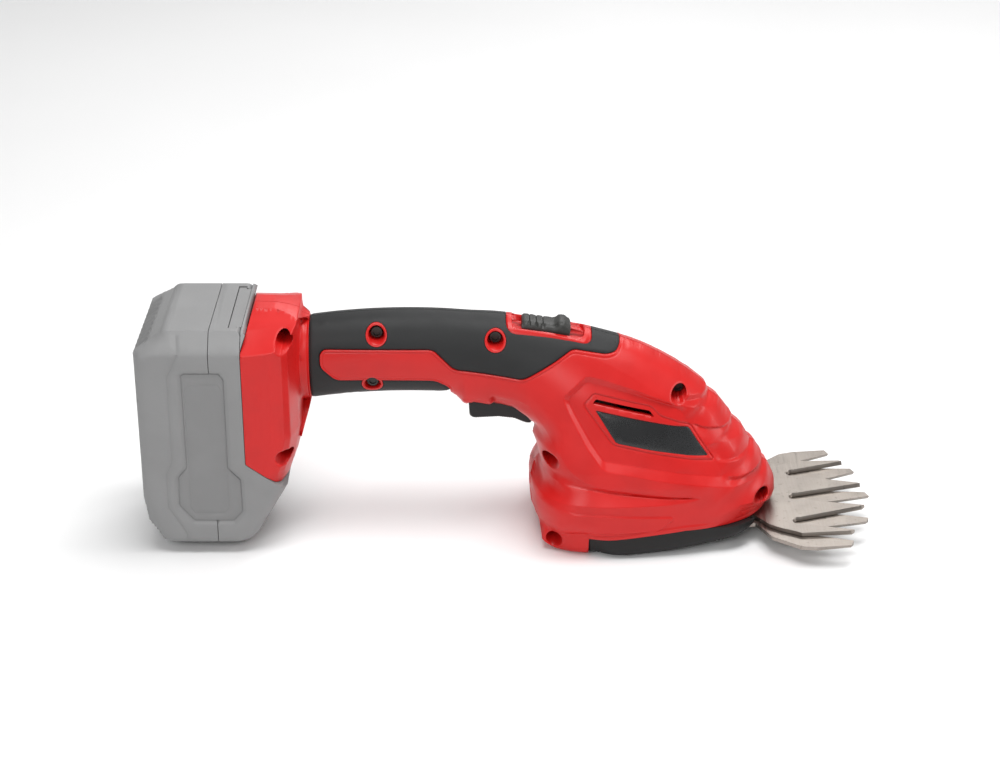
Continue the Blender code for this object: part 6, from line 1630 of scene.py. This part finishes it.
class SHEARS_OT_grips(ShearsOperator, bpy.types.Operator):
    """Build the rubber grips"""
    bl_idname = "shears.grips"
    bl_label = "Grips"

    def execute(self, context):
        build_grips()
        return {"FINISHED"}


class SHEARS_OT_battery(ShearsOperator, bpy.types.Operator):
    """Build the battery's two case halves and their plates"""
    bl_idname = "shears.battery"
    bl_label = "Battery"

    def execute(self, context):
        build_battery()
        return {"FINISHED"}


class SHEARS_OT_sole(ShearsOperator, bpy.types.Operator):
    """Build the black cover under the head"""
    bl_idname = "shears.sole"
    bl_label = "Sole"

    def execute(self, context):
        build_sole()
        return {"FINISHED"}


class SHEARS_OT_labels(ShearsOperator, bpy.types.Operator):
    """Build the plain plates on both sides of the head"""
    bl_idname = "shears.labels"
    bl_label = "Label plates"

    def execute(self, context):
        build_labels()
        return {"FINISHED"}


class SHEARS_OT_slide(ShearsOperator, bpy.types.Operator):
    """Build the ribbed thumb slide"""
    bl_idname = "shears.slide"
    bl_label = "Lock slide"

    def execute(self, context):
        build_slide()
        return {"FINISHED"}


class SHEARS_OT_trigger(ShearsOperator, bpy.types.Operator):
    """Build the trigger"""
    bl_idname = "shears.trigger"
    bl_label = "Trigger"

    def execute(self, context):
        build_trigger()
        return {"FINISHED"}


class SHEARS_OT_blades(ShearsOperator, bpy.types.Operator):
    """Build the two comb blades"""
    bl_idname = "shears.blades"
    bl_label = "Blades"

    def execute(self, context):
        build_blades()
        return {"FINISHED"}


class SHEARS_OT_finishes(ShearsOperator, bpy.types.Operator):
    """Give the carried-over CAD pieces their finishes"""
    bl_idname = "shears.finishes"
    bl_label = "Finishes"

    def execute(self, context):
        finish_cad_nodes()
        return {"FINISHED"}


class SHEARS_OT_stage(ShearsOperator, bpy.types.Operator):
    """Build the floor, the lights and the camera"""
    bl_idname = "shears.stage"
    bl_label = "Stage"

    def execute(self, context):
        build_stage()
        return {"FINISHED"}


OPERATORS = (SHEARS_OT_shells, SHEARS_OT_grips, SHEARS_OT_battery, SHEARS_OT_sole, SHEARS_OT_labels,
             SHEARS_OT_slide, SHEARS_OT_trigger, SHEARS_OT_blades, SHEARS_OT_finishes, SHEARS_OT_stage)


class SHEARS_PT_panel(bpy.types.Panel):
    """Sizes, colours and pieces of the shears"""
    bl_idname = "SHEARS_PT_panel"
    bl_label = "Shears"
    bl_space_type = "VIEW_3D"
    bl_region_type = "UI"
    bl_category = "Shears"

    def draw(self, context):
        for group in (context.scene.shears_sizes, context.scene.shears_colours):
            for name in group.bl_rna.properties.keys():
                if name not in ("rna_type", "name"):
                    self.layout.prop(group, name)
        for operator in OPERATORS:
            self.layout.operator(operator.bl_idname)


CLASSES = (ShearsSizes, ShearsColours) + OPERATORS + (SHEARS_PT_panel,)


def register():
    for item in CLASSES:
        bpy.utils.register_class(item)
    bpy.types.Scene.shears_sizes = PointerProperty(type=ShearsSizes)
    bpy.types.Scene.shears_colours = PointerProperty(type=ShearsColours)


def unregister():
    del bpy.types.Scene.shears_colours
    del bpy.types.Scene.shears_sizes
    for item in reversed(CLASSES):
        bpy.utils.unregister_class(item)


def main():
    register()
    for operator in OPERATORS:
        group, name = operator.bl_idname.split(".")
        result = getattr(getattr(bpy.ops, group), name)()
        if result != {"FINISHED"}:
            raise RuntimeError(operator.bl_label + " did not finish")


if __name__ == "__main__":
    main()
